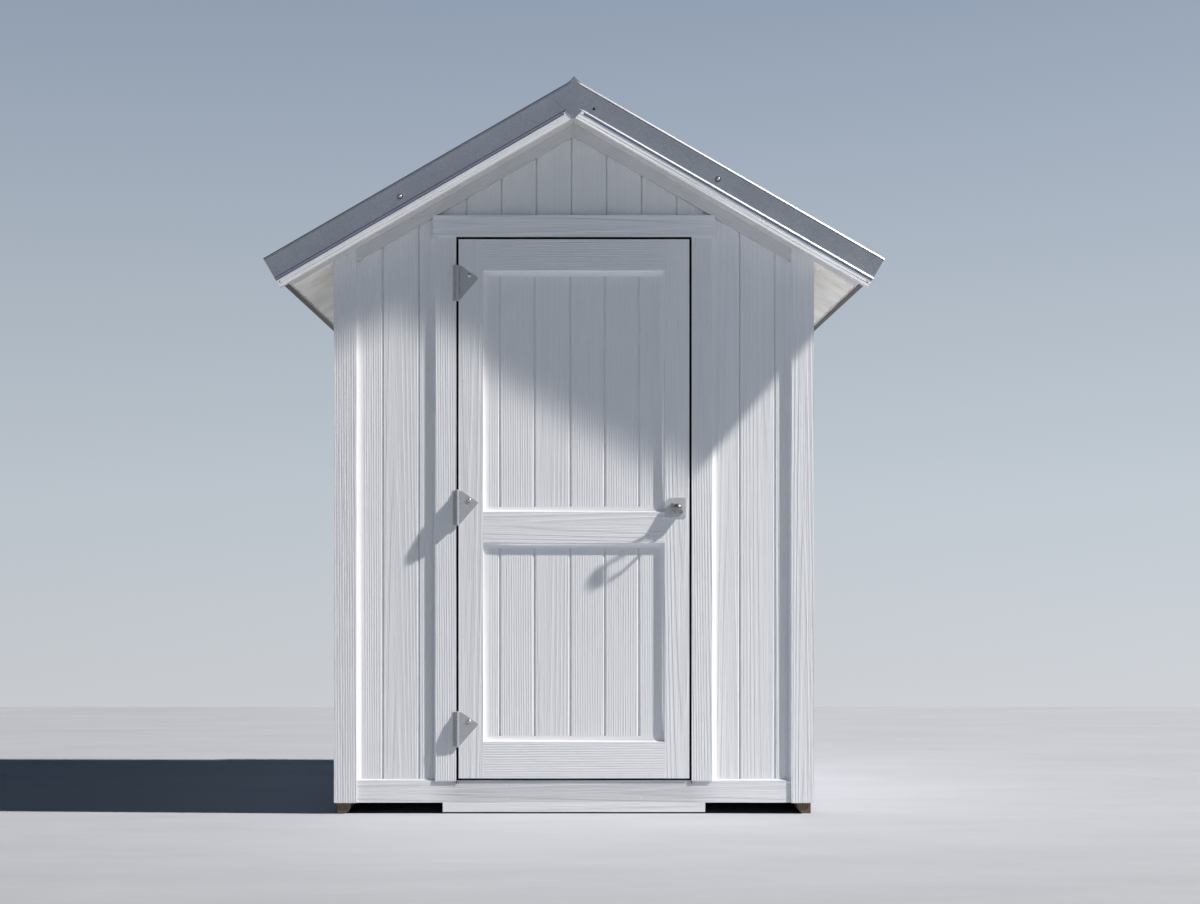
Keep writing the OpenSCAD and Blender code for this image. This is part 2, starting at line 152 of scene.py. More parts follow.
def put(stock, piece, place=None, finish=None):
    """Adds a piece to the stock and frees it; finish picks its material from a face's normal."""
    first = len(stock["points"])
    tone = pick.random()
    bmesh.ops.recalc_face_normals(piece, faces=piece.faces)
    piece.verts.index_update()
    for vert in piece.verts:
        stock["points"].append(vert.co.copy())
        stock["log"].append(place(vert.co) if place else vert.co.copy())
        stock["tone"].append(tone)
    for face in piece.faces:
        stock["faces"].append([first + vert.index for vert in face.verts])
        stock["finish"].append(finish(face.normal) if finish else 0)
    piece.free()


def assemble(name, stock, finishes, body, nodes=(), smooth=None):
    """One object from the stock, on its CAD body, in place of the CAD nodes."""
    mesh = bpy.data.meshes.new(name)
    mesh.from_pydata(stock["points"], [], stock["faces"])
    logs = mesh.attributes.new("log", "FLOAT_VECTOR", "POINT")
    logs.data.foreach_set("vector", [c for point in stock["log"] for c in point])
    tones = mesh.attributes.new("tone", "FLOAT", "POINT")
    tones.data.foreach_set("value", stock["tone"])
    for finish in finishes:
        mesh.materials.append(finish)
    mesh.polygons.foreach_set("material_index", stock["finish"])
    if smooth:
        mesh.shade_smooth()
        mesh.set_sharp_from_angle(angle=math.radians(smooth))
    made = bpy.data.objects.new(name, mesh)
    scene.collection.objects.link(made)
    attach(made, body)
    if nodes:
        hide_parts(*nodes)


def solids_of(node):
    """The solids of a CAD node, one mesh each, with their flat faces whole."""
    whole = bmesh.new()
    whole.from_mesh(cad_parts[node].data)
    bmesh.ops.remove_doubles(whole, verts=whole.verts, dist=1e-5)
    bmesh.ops.dissolve_limit(whole, angle_limit=math.radians(0.5), verts=whole.verts, edges=whole.edges)
    solids = []
    for seed in whole.verts:
        if seed.tag:
            continue
        seed.tag = True
        island = [seed]
        for vert in island:
            for edge in vert.link_edges:
                other = edge.other_vert(vert)
                if not other.tag:
                    other.tag = True
                    island.append(other)
        solid = bmesh.new()
        copies = {vert: solid.verts.new(vert.co) for vert in island}
        for face in whole.faces:
            if face.verts[0] in copies:
                solid.faces.new([copies[vert] for vert in face.verts])
        solids.append(solid)
    whole.free()
    return solids


def ease(solid, width):
    """Rounds the sharp edges of a solid."""
    sharp = [e for e in solid.edges if len(e.link_faces) == 2 and e.calc_face_angle() > math.radians(25)]
    bmesh.ops.bevel(solid, geom=sharp, offset=width, segments=2, profile=0.5,
                    affect="EDGES", clamp_overlap=True)


def timber(stock, solid, width):
    """A sawn timber: its grain runs along its longest edge, and its edges are eased."""
    longest = max(solid.edges, key=lambda edge: edge.calc_length())
    corner = longest.verts[0].co.copy()
    along = (longest.verts[1].co - corner).normalized()
    sides = [edge.verts[1].co - edge.verts[0].co for edge in solid.edges]
    sides = [side - along * side.dot(along) for side in sides]
    across = max(sides, key=lambda side: side.length)
    place = in_log(corner, along, across.normalized(), across.length)
    ease(solid, width)
    put(stock, solid, place)


def timbers(name, node, width, finish, body):
    """The timbers of a CAD node as one piece, with their edges eased by a width."""
    stock = new_stock()
    for solid in solids_of(node):
        timber(stock, solid, width)
    assemble(name, stock, [finish], body, [node])


def treated_softwood():
    """Sawn softwood under a brown preservative: matt, furry from the saw, darker latewood."""
    finish, tree, shader = new_finish("brown pressure-treated sawn softwood")
    late, fibres = figure(tree, ring=0.006, fibre=0.003)
    colour = add(tree, "ShaderNodeValToRGB", {"Fac": fibres},
                 stops=[(0.3, "#6B5648"), (0.7, "#927B69")])
    dark = add(tree, "ShaderNodeMix", {0: late, 6: colour, 7: "#574436"}, data_type="RGBA")
    height = add(tree, "ShaderNodeMath", {0: fibres, 1: late}, operation="ADD")
    bump = add(tree, "ShaderNodeBump", {"Height": height, "Distance": 0.0008, "Strength": 0.9})
    feed(tree, shader, {"Base Color": dark.outputs[2], "Roughness": 0.85, "Normal": bump})
    return finish


ARRIS = 0.0015       # how wide the edges of a sawn or planed timber are eased
timbers("ground_bearers", "bearers", ARRIS, treated_softwood(), "shed")


# Floor and frame -----------------------------------------------------
# Planed, kiln-dried whitewood, 45 mm square, left bare: joists across the
# bearers, sole plates, posts, rails, lintel and wall plates nailed together.

def bare_softwood():
    """Planed spruce, unfinished: pale straw with tan latewood and a soft, dull surface."""
    finish, tree, shader = new_finish("bare planed spruce")
    late, fibres = figure(tree, ring=0.005, fibre=0.003)
    tone = add(tree, "ShaderNodeAttribute", attribute_name="tone")
    ground = add(tree, "ShaderNodeValToRGB", {"Fac": tone.outputs["Fac"]},
                 stops=[(0.0, "#D2B48C"), (1.0, "#E0C6A0")])
    share = add(tree, "ShaderNodeMath", {0: late, 1: 0.55}, operation="MULTIPLY")
    ringed = add(tree, "ShaderNodeMix", {0: share, 6: ground, 7: "#B98F63"}, data_type="RGBA")
    streak = add(tree, "ShaderNodeMapRange", {"Value": fibres, "To Min": 0.88, "To Max": 1.08})
    colour = add(tree, "ShaderNodeVectorMath", {0: ringed.outputs[2], 1: streak}, operation="MULTIPLY")
    rough = add(tree, "ShaderNodeMapRange", {"Value": fibres, "To Min": 0.55, "To Max": 0.75})
    bump = add(tree, "ShaderNodeBump", {"Height": fibres, "Distance": 0.0003, "Strength": 0.6})
    feed(tree, shader, {"Base Color": colour, "Roughness": rough, "Normal": bump})
    return finish


bare = bare_softwood()
for node in ("floor_joists", "bottom_plates", "corner_posts", "door_posts", "door_lintel", "wall_rails",
             "top_plates", "ridge_board", "rafters"):
    timbers(node + "_timbers", node, ARRIS, bare, "shed")


# Floor boards --------------------------------------------------------
# Tongued and grooved boards laid front to back over the joists and nailed through
# the tongue, planed and left bare like the frame.

TONGUE = 0.00075     # half the slot left between two boards
BOARD = 0.117        # cover width of a board
FLOOR_VEE = 0.0012   # half the width and nearly the depth of the V at a joint


def skin(rings, closed=False):
    """A solid with its skin drawn through rings of points; a closed one runs on to its start."""
    solid = bmesh.new()
    loops = [[solid.verts.new(point) for point in ring] for ring in rings]
    for one, two in zip(loops, loops[1:] + loops[:1] if closed else loops[1:]):
        for i in range(len(one)):
            after = (i + 1) % len(one)
            solid.faces.new([one[i], one[after], two[after], two[i]])
    if not closed:
        solid.faces.new(loops[0])
        solid.faces.new(loops[-1])
    return solid


def tongued(stock, place, edges, foot, head, thick, vee, finish=None, flush=()):
    """Tongued boards side by side. place(a, d, l) is the point at a across the boards, at depth d
    under their face and at l along them; foot and head give where each line of a board ends. The
    edges named flush have no V: there a board runs on past the end of its node."""
    def joint(edge, inward, sink):
        if edge in flush:
            return [(edge, sink)]
        slit = edge + inward * TONGUE
        return [(edge + inward * vee, sink), (slit, sink + vee * 0.9), (slit, thick * 0.4),
                (edge, thick * 0.4)]

    for near, far in zip(edges, edges[1:]):
        sink = pick.uniform(0, 0.0004)
        near_side = joint(near, 1, sink)
        section = near_side[:1] + joint(far, -1, sink) + [(far, thick), (near, thick)] + near_side[:0:-1]
        low = [place(a, d, foot(a, d)) for a, d in section]
        high = [place(a, d, head(a, d)) for a, d in section]
        along = (high[0] - low[0]).normalized()
        across = low[1] - low[0]
        across = (across - along * across.dot(along)).normalized()
        put(stock, skin([low, high]), in_log(low[0], along, across, far - near), finish)


def spaced(low, high, pitch, middle=0.0):
    """Board edges at a pitch either side of a middle, and at both ends."""
    first = math.ceil((low - middle) / pitch + 0.15)
    last = math.floor((high - middle) / pitch - 0.15)
    return [low] + [middle + i * pitch for i in range(first, last + 1)] + [high]


low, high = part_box("floor_deck")
stock = new_stock()
tongued(stock, lambda a, d, l: Vector((a, l, high.z - d)), spaced(low.x, high.x, BOARD),
        lambda a, d: low.y, lambda a, d: high.y, high.z - low.z, FLOOR_VEE)
assemble("floor_boards", stock, [bare], "shed", ["floor_deck"])


# Wall boards ---------------------------------------------------------
# Tongued and V-jointed softwood boards, 117 mm apart, nailed upright to the
# rails. Two coats of cool white exterior paint outside, bare wood inside.

def painted_softwood(name, white, thin, relief, waver, stain=0.02, door_shade_reach=0.0, ring=0.008, fibre=0.005):
    """Brushed satin paint on softwood: the raised grain still reads through it as fine lines,
    a little darker in the latewood. Each board has its own shade of white, and the weather has
    clouded it a little. Painted light makes it lighter towards the right, where the sun falls more
    strongly, and painted shade darkens it in front, within a given half width of the doorway."""
    finish, tree, shader = new_finish(name)
    # Rings and fibres are drawn a little coarser than planed spruce has them, so that they show.
    late, fibres = figure(tree, ring, fibre, waver)
    tone = add(tree, "ShaderNodeAttribute", attribute_name="tone")
    lines = add(tree, "ShaderNodeMapRange", {"Value": fibres, "From Min": 0.32, "From Max": 0.68})
    share = add(tree, "ShaderNodeMix", {0: 0.5, 2: lines, 3: late}, data_type="FLOAT")
    coat = add(tree, "ShaderNodeValToRGB", {"Fac": share}, stops=[(0.0, white), (1.0, thin)])
    shade = add(tree, "ShaderNodeMapRange", {"Value": tone.outputs["Fac"], "To Min": 0.975, "To Max": 1.0})
    colour = add(tree, "ShaderNodeVectorMath", {0: coat, 1: shade}, operation="MULTIPLY")
    spot = add(tree, "ShaderNodeTexCoord").outputs["Object"]
    cloud = add(tree, "ShaderNodeTexNoise", {"Vector": spot, "Scale": 11.0, "Detail": 4.0})
    dulled = add(tree, "ShaderNodeMapRange", {"Value": cloud, "From Min": 0.35, "From Max": 0.65,
                                              "To Min": 1 - stain, "To Max": 1.0})
    part = add(tree, "ShaderNodeSeparateXYZ", {0: spot})
    # Painted light: the paint is lighter towards the right, where the sun falls more strongly.
    lit_from_right = add(tree, "ShaderNodeMapRange", {"Value": part.outputs["X"], "From Min": -0.8, "From Max": 0.8,
                                            "To Min": 0.95, "To Max": 1.09})
    dulled = add(tree, "ShaderNodeMath", {0: dulled, 1: lit_from_right}, operation="MULTIPLY")
    # Painted shade: in front, within the given half width of the doorway, the paint is darkened as if shaded
    # by the door and its casings.
    if door_shade_reach:
        aside = add(tree, "ShaderNodeMath", {0: part.outputs["X"]}, operation="ABSOLUTE")
        door_shade = add(tree, "ShaderNodeMapRange", {"Value": aside, "From Min": door_shade_reach - 0.07,
                                                   "From Max": door_shade_reach + 0.03, "To Min": 0.80, "To Max": 1.0})
        behind = add(tree, "ShaderNodeMath", {0: part.outputs["Y"], 1: 0.0}, operation="GREATER_THAN")
        door_shade = add(tree, "ShaderNodeMath", {0: door_shade, 1: behind}, operation="MAXIMUM")
        dulled = add(tree, "ShaderNodeMath", {0: dulled, 1: door_shade}, operation="MULTIPLY")
    colour = add(tree, "ShaderNodeVectorMath", {0: colour, 1: dulled}, operation="MULTIPLY")
    rough = add(tree, "ShaderNodeMapRange", {"Value": lines, "To Min": 0.46, "To Max": 0.62})
    bump = add(tree, "ShaderNodeBump", {"Height": share, "Distance": relief, "Strength": 1.0})
    feed(tree, shader, {"Base Color": colour, "Roughness": rough, "Normal": bump,
                        "Specular IOR Level": 0.35})
    return finish


PITCH = math.radians(30)
WALL_VEE = 0.0045
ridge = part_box("roof_boards_left")[1].z      # top of the roof boards at the ridge


def roof_z(x, depth):
    """Height of the roof at x, at a depth square to the slope under the top of the roof boards."""
    return ridge - abs(x) * math.tan(PITCH) - depth / math.cos(PITCH)


def depth_of(x, z):
    """How deep under the top of the roof boards a point lies."""
    return (ridge - abs(x) * math.tan(PITCH) - z) * math.cos(PITCH)


def outside(direction):
    """Paint on a board's face and edges, bare wood on its back."""
    return lambda normal: 1 if normal.dot(Vector(direction)) < -0.5 else 0


painted = painted_softwood("white exterior paint on V-jointed boards", "#EDEDEF", "#E6E7EA", 0.0012, 1.2)


def gable_boards(name, node, edges, out, flush=(), paint=painted):
    """Boards of a front or back wall, up to the roof boards."""
    low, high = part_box(node)
    face = low.y if out < 0 else high.y
    stock = new_stock()
    tongued(stock, lambda a, d, l: Vector((a, face - out * d, l)), edges,
            lambda a, d: low.z, lambda a, d: roof_z(a, head_depth), high.y - low.y, WALL_VEE,
            outside((0, out, 0)), flush)
    assemble(name, stock, [paint, bare], "shed", [node])


wall_low, wall_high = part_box("front_wall_right")
head_depth = depth_of(wall_low.x, wall_high.z)
jambs = (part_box("front_wall_left")[1].x, wall_low.x)
# The joints beside the door stand a few millimetres off the pitch.
for name, node, joints in (("front_boards_left", "front_wall_left", [-0.761, -0.640, -0.519]),
                           ("front_boards_right", "front_wall_right", [0.436, 0.554, 0.672])):
    low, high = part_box(node)
    gable_boards(name, node, [low.x] + joints + [high.x], -1, jambs)
GABLE_JOINT = -0.008     # the joint nearest the middle of the front gable
low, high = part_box("front_gable")
# Painted shade: the gable boards take a greyer white, for the shade under the verge.
gable_shade_paint = painted_softwood("white exterior paint greyed as painted shade on the gable", "#E8E8E7", "#E2E2E2", 0.0007, 1.2)
gable_boards("gable_boards_front", "front_gable", spaced(low.x, high.x, BOARD, GABLE_JOINT), -1,
             (low.x, high.x), gable_shade_paint)
low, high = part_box("back_wall")
gable_boards("back_boards", "back_wall", spaced(low.x, high.x, BOARD), 1)

for name, node, side in (("left_boards", "left_wall", -1), ("right_boards", "right_wall", 1)):
    low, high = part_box(node)
    face = high.x if side > 0 else low.x
    thick = high.x - low.x
    side_depth = depth_of(abs(face) - thick, high.z)
    stock = new_stock()
    tongued(stock, lambda a, d, l: Vector((face - side * d, a, l)), spaced(low.y, high.y, BOARD),
            lambda a, d: low.z, lambda a, d: roof_z(abs(face) - d, side_depth), thick, WALL_VEE,
            outside((side, 0, 0)))
    assemble(name, stock, [painted, bare], "shed", [node])


# Trim ----------------------------------------------------------------
# Planed boards 18 mm thick with eased edges, painted with the walls: sill boards,
# corner boards, raking trim, door casings and the plank at the door.

FINE_ARRIS = 0.0008      # on the casings and the door's frame
WORN_ARRIS = 0.003       # on the sill boards and the plank, blunted by paint and boots
trim_paint = painted_softwood("white exterior paint on planed trim", "#EEEEF0", "#E6E7EA", 0.0016, 0.8)
# Painted shade: the raking trim and the verge rafters take greyer whites, for the shade under the roof's
# edge; both are also lightly clouded.
rake_shade_paint = painted_softwood("white exterior paint greyed by the weather", "#D8D8D9", "#D1D1D2",
                              0.0010, 1.2, stain=0.05)
rafter_shade_paint = painted_softwood("white exterior paint dull with dust", "#C4C4C5", "#BDBDBE", 0.0008, 1.2,
                              stain=0.08)
casing_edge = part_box("door_casing_right")[1].x
# Painted shade darkens the sill boards below the door.
door_shade_sill_paint = painted_softwood("white exterior paint with painted shade below the door", "#EEEEF0", "#E0E1E4", 0.0015, 1.0,
                              door_shade_reach=casing_edge)
for node, arris, paint in (("rake_trims", ARRIS, rake_shade_paint), ("verge_rafters", ARRIS, rafter_shade_paint),
                           ("doorstep", WORN_ARRIS, trim_paint), ("sill_boards", WORN_ARRIS, door_shade_sill_paint),
                           ("corner_boards_ends", ARRIS, trim_paint),
                           ("corner_boards_sides", ARRIS, trim_paint),
                           ("door_casing_left", FINE_ARRIS, trim_paint),
                           ("door_casing_right", FINE_ARRIS, trim_paint),
                           ("door_casing_head", FINE_ARRIS, trim_paint), ("eave_fascias", ARRIS, trim_paint)):
    timbers(node + "_painted", node, arris, paint, "shed")


# Sealant -------------------------------------------------------------
# Acrylic sealant in the corners where trim meets boards, tooled into a wide
# hollow fillet and painted over. It takes the sun more squarely than the boards do.

RUN, RISE = 0.018, 0.009     # how far the fillet reaches over the boards, and up the trim
BELOW_EAVE = 0.02            # how far below the heads of the corner boards it ends at the sides


def fillet(stock, out, corners, closed=False, ledge=1.0):
    """A hollow fillet along corners, which run to the left of the boards as seen against out.
    ledge is the share of its full reach that it has over a level edge."""
    out = Vector(out)
    count = len(corners)
    ways = [(corners[(i + 1) % count] - corners[i]).normalized() for i in range(count)]
    rings = []
    for i in range(count):
        before = ways[i - 1] if closed or i else ways[i]
        after = ways[i] if closed or i < count - 1 else ways[i - 1]
        inward = out.cross(before) * (1 if before.z else ledge)
        if (after - before).length > 0.01:
            inward += out.cross(after) * (1 if after.z else ledge)
        section = [(0, 0)] + [(RUN * (1 - math.sin(turn)), RISE * (1 - math.cos(turn)))
                              for turn in (math.radians(step * 11.25) for step in range(9))]
        rings.append([corners[i] + inward * a + out * b for a, b in section])
    put(stock, skin(rings, closed))


def points_of(node):
    """The corner points of a CAD node's solids."""
    return [vert.co.copy() for solid in solids_of(node) for vert in solid.verts]


def bay(stock, out, left, right, base, tops, face):
    """The fillet down one side of a run of wall boards, along the sill and up the other side."""
    out = Vector(out)
    along = Vector((0, 0, 1)).cross(out)
    foot = out * face
    fillet(stock, out, [foot + along * u + Vector((0, 0, v)) for u, v in
                        ((left, tops[0]), (left, base), (right, base), (right, tops[1]))], ledge=0.25)


sealant = painted_softwood("white exterior paint over acrylic sealant", "#EDEDEF", "#EBEBED", 0.0001, 0.5,
                           ring=0.03, fibre=0.03)
board_face = -wall_low.y
corner_in = min(abs(point.x) for point in points_of("corner_boards_ends"))
eave_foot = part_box("corner_boards_sides")[1].z - BELOW_EAVE
corner_side = min(abs(point.y) for point in points_of("corner_boards_sides"))
sill_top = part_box("sill_boards")[1].z
trim_depth = max(depth_of(point.x, point.z) for point in points_of("rake_trims"))
head_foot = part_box("door_casing_head")[0].z
stock = new_stock()
at_corner = roof_z(corner_in, trim_depth)
bay(stock, (0, -1, 0), -corner_in, -casing_edge, sill_top, (at_corner, head_foot), board_face)
bay(stock, (0, -1, 0), casing_edge, corner_in, sill_top, (head_foot, at_corner), board_face)
bay(stock, (0, 1, 0), -corner_in, corner_in, sill_top, (at_corner, at_corner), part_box("back_wall")[1].y)
side_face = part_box("right_wall")[1].x
for out in (-1, 1):
    bay(stock, (out, 0, 0), -corner_side, corner_side, sill_top, (eave_foot, eave_foot), side_face)
assemble("trim_sealant", stock, [sealant], "shed", smooth=50)


# Soffits -------------------------------------------------------------
# Short painted boards nailed under the rafters' tails, down the slope, with a
# flat strip along the wall that covers their ends. The paint is drawn warmer and clouded.

def on_slope(side, along, depth, y):
    """The point at a distance down the slope from the ridge and at a depth under the roof boards."""
    x = along * math.cos(PITCH) - depth * math.sin(PITCH)
    z = ridge - along * math.sin(PITCH) - depth * math.cos(PITCH)
    return Vector((side * x, y, z))


def slope_run(x, depth):
    """How far down the slope from the ridge a point at x and at a depth lies."""
    return (x + depth * math.sin(PITCH)) / math.cos(PITCH)


SOFFIT_Z = 1.841     # height of the strip's face at the wall
STRIP, STRIP_DEEP = 0.028, 0.012     # width and thickness of the strip along the wall
RECESS = 0.005       # how far the boards lie above the strip's face
SOFFIT = 0.007       # thickness of the boards
ROOF_VEE = 0.003
low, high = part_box("soffits")
wall_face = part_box("corner_boards_ends")[1].x
under = depth_of(wall_face, SOFFIT_Z)
tail = slope_run(high.x, under)
stock = new_stock()
for side in (-1, 1):
    tongued(stock, lambda a, d, l: on_slope(side, l, under - RECESS - d, a), spaced(low.y, high.y, BOARD),
            lambda a, d: slope_run(wall_face, under - RECESS - d), lambda a, d: tail, SOFFIT, ROOF_VEE)
    section = ((wall_face, under), (wall_face + STRIP, under), (wall_face + STRIP, under - STRIP_DEEP),
               (wall_face, under - STRIP_DEEP))
    timber(stock, skin([[on_slope(side, slope_run(x, depth), depth, y) for x, depth in section]
                        for y in (low.y, high.y)]), 0.001)
soffit_paint = painted_softwood("warm white exterior paint, clouded", "#EDEBE7", "#E4E0DA", 0.0008, 2.5,
                                stain=0.16)
assemble("soffit_boards", stock, [soffit_paint], "shed", ["soffits"])


# Barge boards --------------------------------------------------------
# Moulded boards up both verges, mitred at the apex: two fine grooves run along the
# strip that shows below the metal. Painted with the trim.

GROOVE = 0.0013      # half the width of a groove, and nearly its depth
GROOVES = (0.0185, 0.0095)       # up from the foot of the board
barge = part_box("barge_boards")[1]
barge_points = points_of("barge_boards")
barge_back = min(abs(point.y) for point in barge_points)
barge_head = min(depth_of(point.x, point.z) for point in barge_points)
barge_foot = max(depth_of(point.x, point.z) for point in barge_points)
barge_end = max(abs(point.x) * math.cos(PITCH) + (ridge - point.z) * math.sin(PITCH)
                for point in barge_points)
outline = [(barge_back, barge_foot), (barge_back, barge_head), (barge.y, barge_head)]
for up in GROOVES:
    groove = barge_foot - up
    outline += [(barge.y, groove - GROOVE), (barge.y - GROOVE, groove), (barge.y, groove + GROOVE)]
outline.append((barge.y, barge_foot))
stock = new_stock()
for front in (-1, 1):
    for side in (-1, 1):
        mitre = [(0, front * y, roof_z(0, depth)) for y, depth in outline]
        tail_end = [on_slope(side, barge_end, depth, front * y) for y, depth in outline]
        timber(stock, skin([mitre, tail_end]), 0.0004)
assemble("barge_boards_painted", stock, [trim_paint], "shed", ["barge_boards"])


# Roof boards ---------------------------------------------------------
# Tongued and V-jointed boards nailed from verge to verge over the rafters, with the
# V down, where it shows from inside. Bare spruce.

ROOF_BOARD = 0.0159      # thickness
for name, node, side in (("roof_boards_l", "roof_boards_left", -1),
                         ("roof_boards_r", "roof_boards_right", 1)):
    low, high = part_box(node)
    length = slope_run(max(abs(low.x), abs(high.x)), ROOF_BOARD)
    stock = new_stock()
    tongued(stock, lambda a, d, l: on_slope(side, a, ROOF_BOARD - d, l), spaced(0.01, length, BOARD),
            lambda a, d: low.y, lambda a, d: high.y, ROOF_BOARD, ROOF_VEE)
    assemble(name, stock, [bare], "shed", [node])


# Roof metal ----------------------------------------------------------
# Hot-dip galvanised sheet: ribbed sheets on the boards, a folded ridge cap, and a
# folded edge over each barge board with an outward hem and a small bead on top.

def galvanised(name, dark, light, smooth):
    """Zinc-coated steel gone dull: a bluish grey, faintly clouded, with a fine spangle."""
    finish, tree, shader = new_finish(name)
    place = add(tree, "ShaderNodeTexCoord")
    # Spangle is 3 mm across here: any finer would be lost.
    spangle = add(tree, "ShaderNodeTexVoronoi", {"Vector": place.outputs["Object"], "Scale": 1 / 0.003})
    flake = add(tree, "ShaderNodeSeparateColor", {"Color": spangle.outputs["Color"]})
    cloud = add(tree, "ShaderNodeTexNoise", {"Vector": place.outputs["Object"], "Scale": 6.0,
                                             "Detail": 5.0, "Roughness": 0.6})
    share = add(tree, "ShaderNodeMix", {0: 0.45, 2: cloud, 3: flake}, data_type="FLOAT")
    colour = add(tree, "ShaderNodeValToRGB", {"Fac": share}, stops=[(0.2, dark), (0.8, light)])
    rough = add(tree, "ShaderNodeMapRange", {"Value": share, "To Min": smooth, "To Max": smooth + 0.12})
    bump = add(tree, "ShaderNodeBump", {"Height": cloud, "Distance": 0.001, "Strength": 0.4})
    feed(tree, shader, {"Base Color": colour, "Metallic": 0.9, "Roughness": rough, "Normal": bump})
    return finish


def folded(path, thick, bend):
    """Both faces of a strip of sheet folded along a path, with the bends rounded."""
    line = [Vector(point) for point in path]
    centre = [line[0]]
    for before, corner, after in zip(line, line[1:], line[2:]):
        back, on = before - corner, after - corner
        reach = min(bend, back.length * 0.49, on.length * 0.49)
        start, end = corner + back.normalized() * reach, corner + on.normalized() * reach
        for i in range(5):
            t = i / 4
            centre.append(start * (1 - t) ** 2 + corner * 2 * t * (1 - t) + end * t ** 2)
    centre.append(line[-1])
    one, two = [], []
    for i, point in enumerate(centre):
        run = centre[min(i + 1, len(centre) - 1)] - centre[max(i - 1, 0)]
        normal = Vector((-run.y, run.x)).normalized() * thick / 2
        one.append(point + normal)
        two.append(point - normal)
    return one, two


def strip_of(stock, faces, place, low, high, finish=None):
    """A folded strip drawn out between two ends; place(u, v, end) gives a point."""
    one, two = faces
    piece = bmesh.new()
    rows = [[piece.verts.new(place(point.x, point.y, end)) for point in side]
            for side in (one, two) for end in (low, high)]
    count = len(one)
    for i in range(count - 1):
        for a, b in ((0, 1), (3, 2), (2, 0), (1, 3)):
            piece.faces.new([rows[a][i], rows[a][i + 1], rows[b][i + 1], rows[b][i]])
    for i in (0, count - 1):
        piece.faces.new([rows[0][i], rows[1][i], rows[3][i], rows[2][i]])
    put(stock, piece, finish=finish)


SHEET = 0.001        # drawn thickness of the sheets
RIBS = 9
RIB_BASE, RIB_CREST, RIB_RISE = 0.054, 0.026, 0.0155
MARGIN = 0.012       # flat sheet beyond the last rib
RIDGE_GAP = 0.002    # from the ridge to the head of a sheet
SWAGE, SWAGE_RISE = 0.006, 0.002     # half the width of a swage, and its height
ROOF_LINE = 0.020    # from the top of the roof boards up to the roof line
roof_end = slope_run(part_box("verge_flashings")[1].x, -ROOF_LINE)
sheet_low, sheet_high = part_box("roof_sheet_right")
first = sheet_high.y - RIB_BASE / 2 - MARGIN
rib_pitch = 2 * first / (RIBS - 1)
crests = [-first + i * rib_pitch for i in range(RIBS)]
path = [(sheet_low.y, 0)]
for crest in crests:
    path += [(crest - RIB_BASE / 2, 0), (crest - RIB_CREST / 2, RIB_RISE),
             (crest + RIB_CREST / 2, RIB_RISE), (crest + RIB_BASE / 2, 0)]
    if crest < crests[-1]:
        # Two low swages stiffen the pan between two ribs.
        for third in (1, 2):
            swage = crest + RIB_BASE / 2 + third * (rib_pitch - RIB_BASE) / 3
            path += [(swage - SWAGE, 0), (swage, SWAGE_RISE), (swage + SWAGE, 0)]
path.append((sheet_high.y, 0))
profile = folded(path, SHEET, bend=0.003)
dull_zinc = galvanised("galvanised roofing sheet, dulled by rain", "#93969C", "#A6A9AF", 0.56)
for name, node, side in (("ribbed_sheet_left", "roof_sheet_left", -1),
                         ("ribbed_sheet_right", "roof_sheet_right", 1)):
    stock = new_stock()
    strip_of(stock, profile, lambda u, v, end: on_slope(side, end, -SHEET / 2 - v, u), RIDGE_GAP, roof_end)
    assemble(name, stock, [dull_zinc], "shed", [node], smooth=30)

CAP = 0.0012         # drawn thickness of the folded pieces
CAP_LEG = 0.150      # how far the ridge cap reaches down each slope
cap_low, cap_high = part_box("ridge_cap")
cap_depth = CAP * 1.5 - ROOF_LINE
leg = on_slope(1, CAP_LEG, cap_depth, 0)
cap = folded([(-leg.x, leg.z), (0, roof_z(0, cap_depth)), (leg.x, leg.z)], CAP, bend=0.012)
zinc_sheet = galvanised("weathered hot-dip galvanised steel", "#93969C", "#A6A9AF", 0.38)
stock = new_stock()
strip_of(stock, cap, lambda u, v, end: Vector((u, end, v)), cap_low.y, cap_high.y)
assemble("ridge_cap_fold", stock, [zinc_sheet], "shed", ["ridge_cap"], smooth=30)

FACE = 0.0816        # depth of the metal face
TURN = 0.0042        # how far the bead and the hem turn out
BEAD = 0.0064        # height of the bead's upper face, along the top
ON_SHEET = 0.121     # how far the top leg lies on the sheet
MITRE = 0.0003       # half the joint between two faces at the apex
bead_start, hem_start = 0.014, 0.074     # both stop at the apex plate, this far down the slope
hem_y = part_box("verge_flashings")[1].y - CAP / 2
face_y = hem_y - TURN
front_y = face_y + CAP / 2           # the metal face's own surface
edge = [(face_y - ON_SHEET, 0.0008), (face_y + 0.0004, 0.0008), (hem_y, 0.0008 + BEAD),
        (face_y, 0.0030 + BEAD), (face_y, FACE - 0.0078), (hem_y - 0.0004, FACE - 0.0022),
        (hem_y - 0.0022, FACE - 0.0006)]
profile = folded(edge, CAP, bend=0.0012)


def sunlit_fold(normal):
    """The upper faces of bead and hem on the slope towards the sun, given a lighter zinc as a painted
    highlight.
    """
    return 1 if normal.x > 0.1 and 0.4 < abs(normal.y) < 0.97 and normal.z > 0 else 0


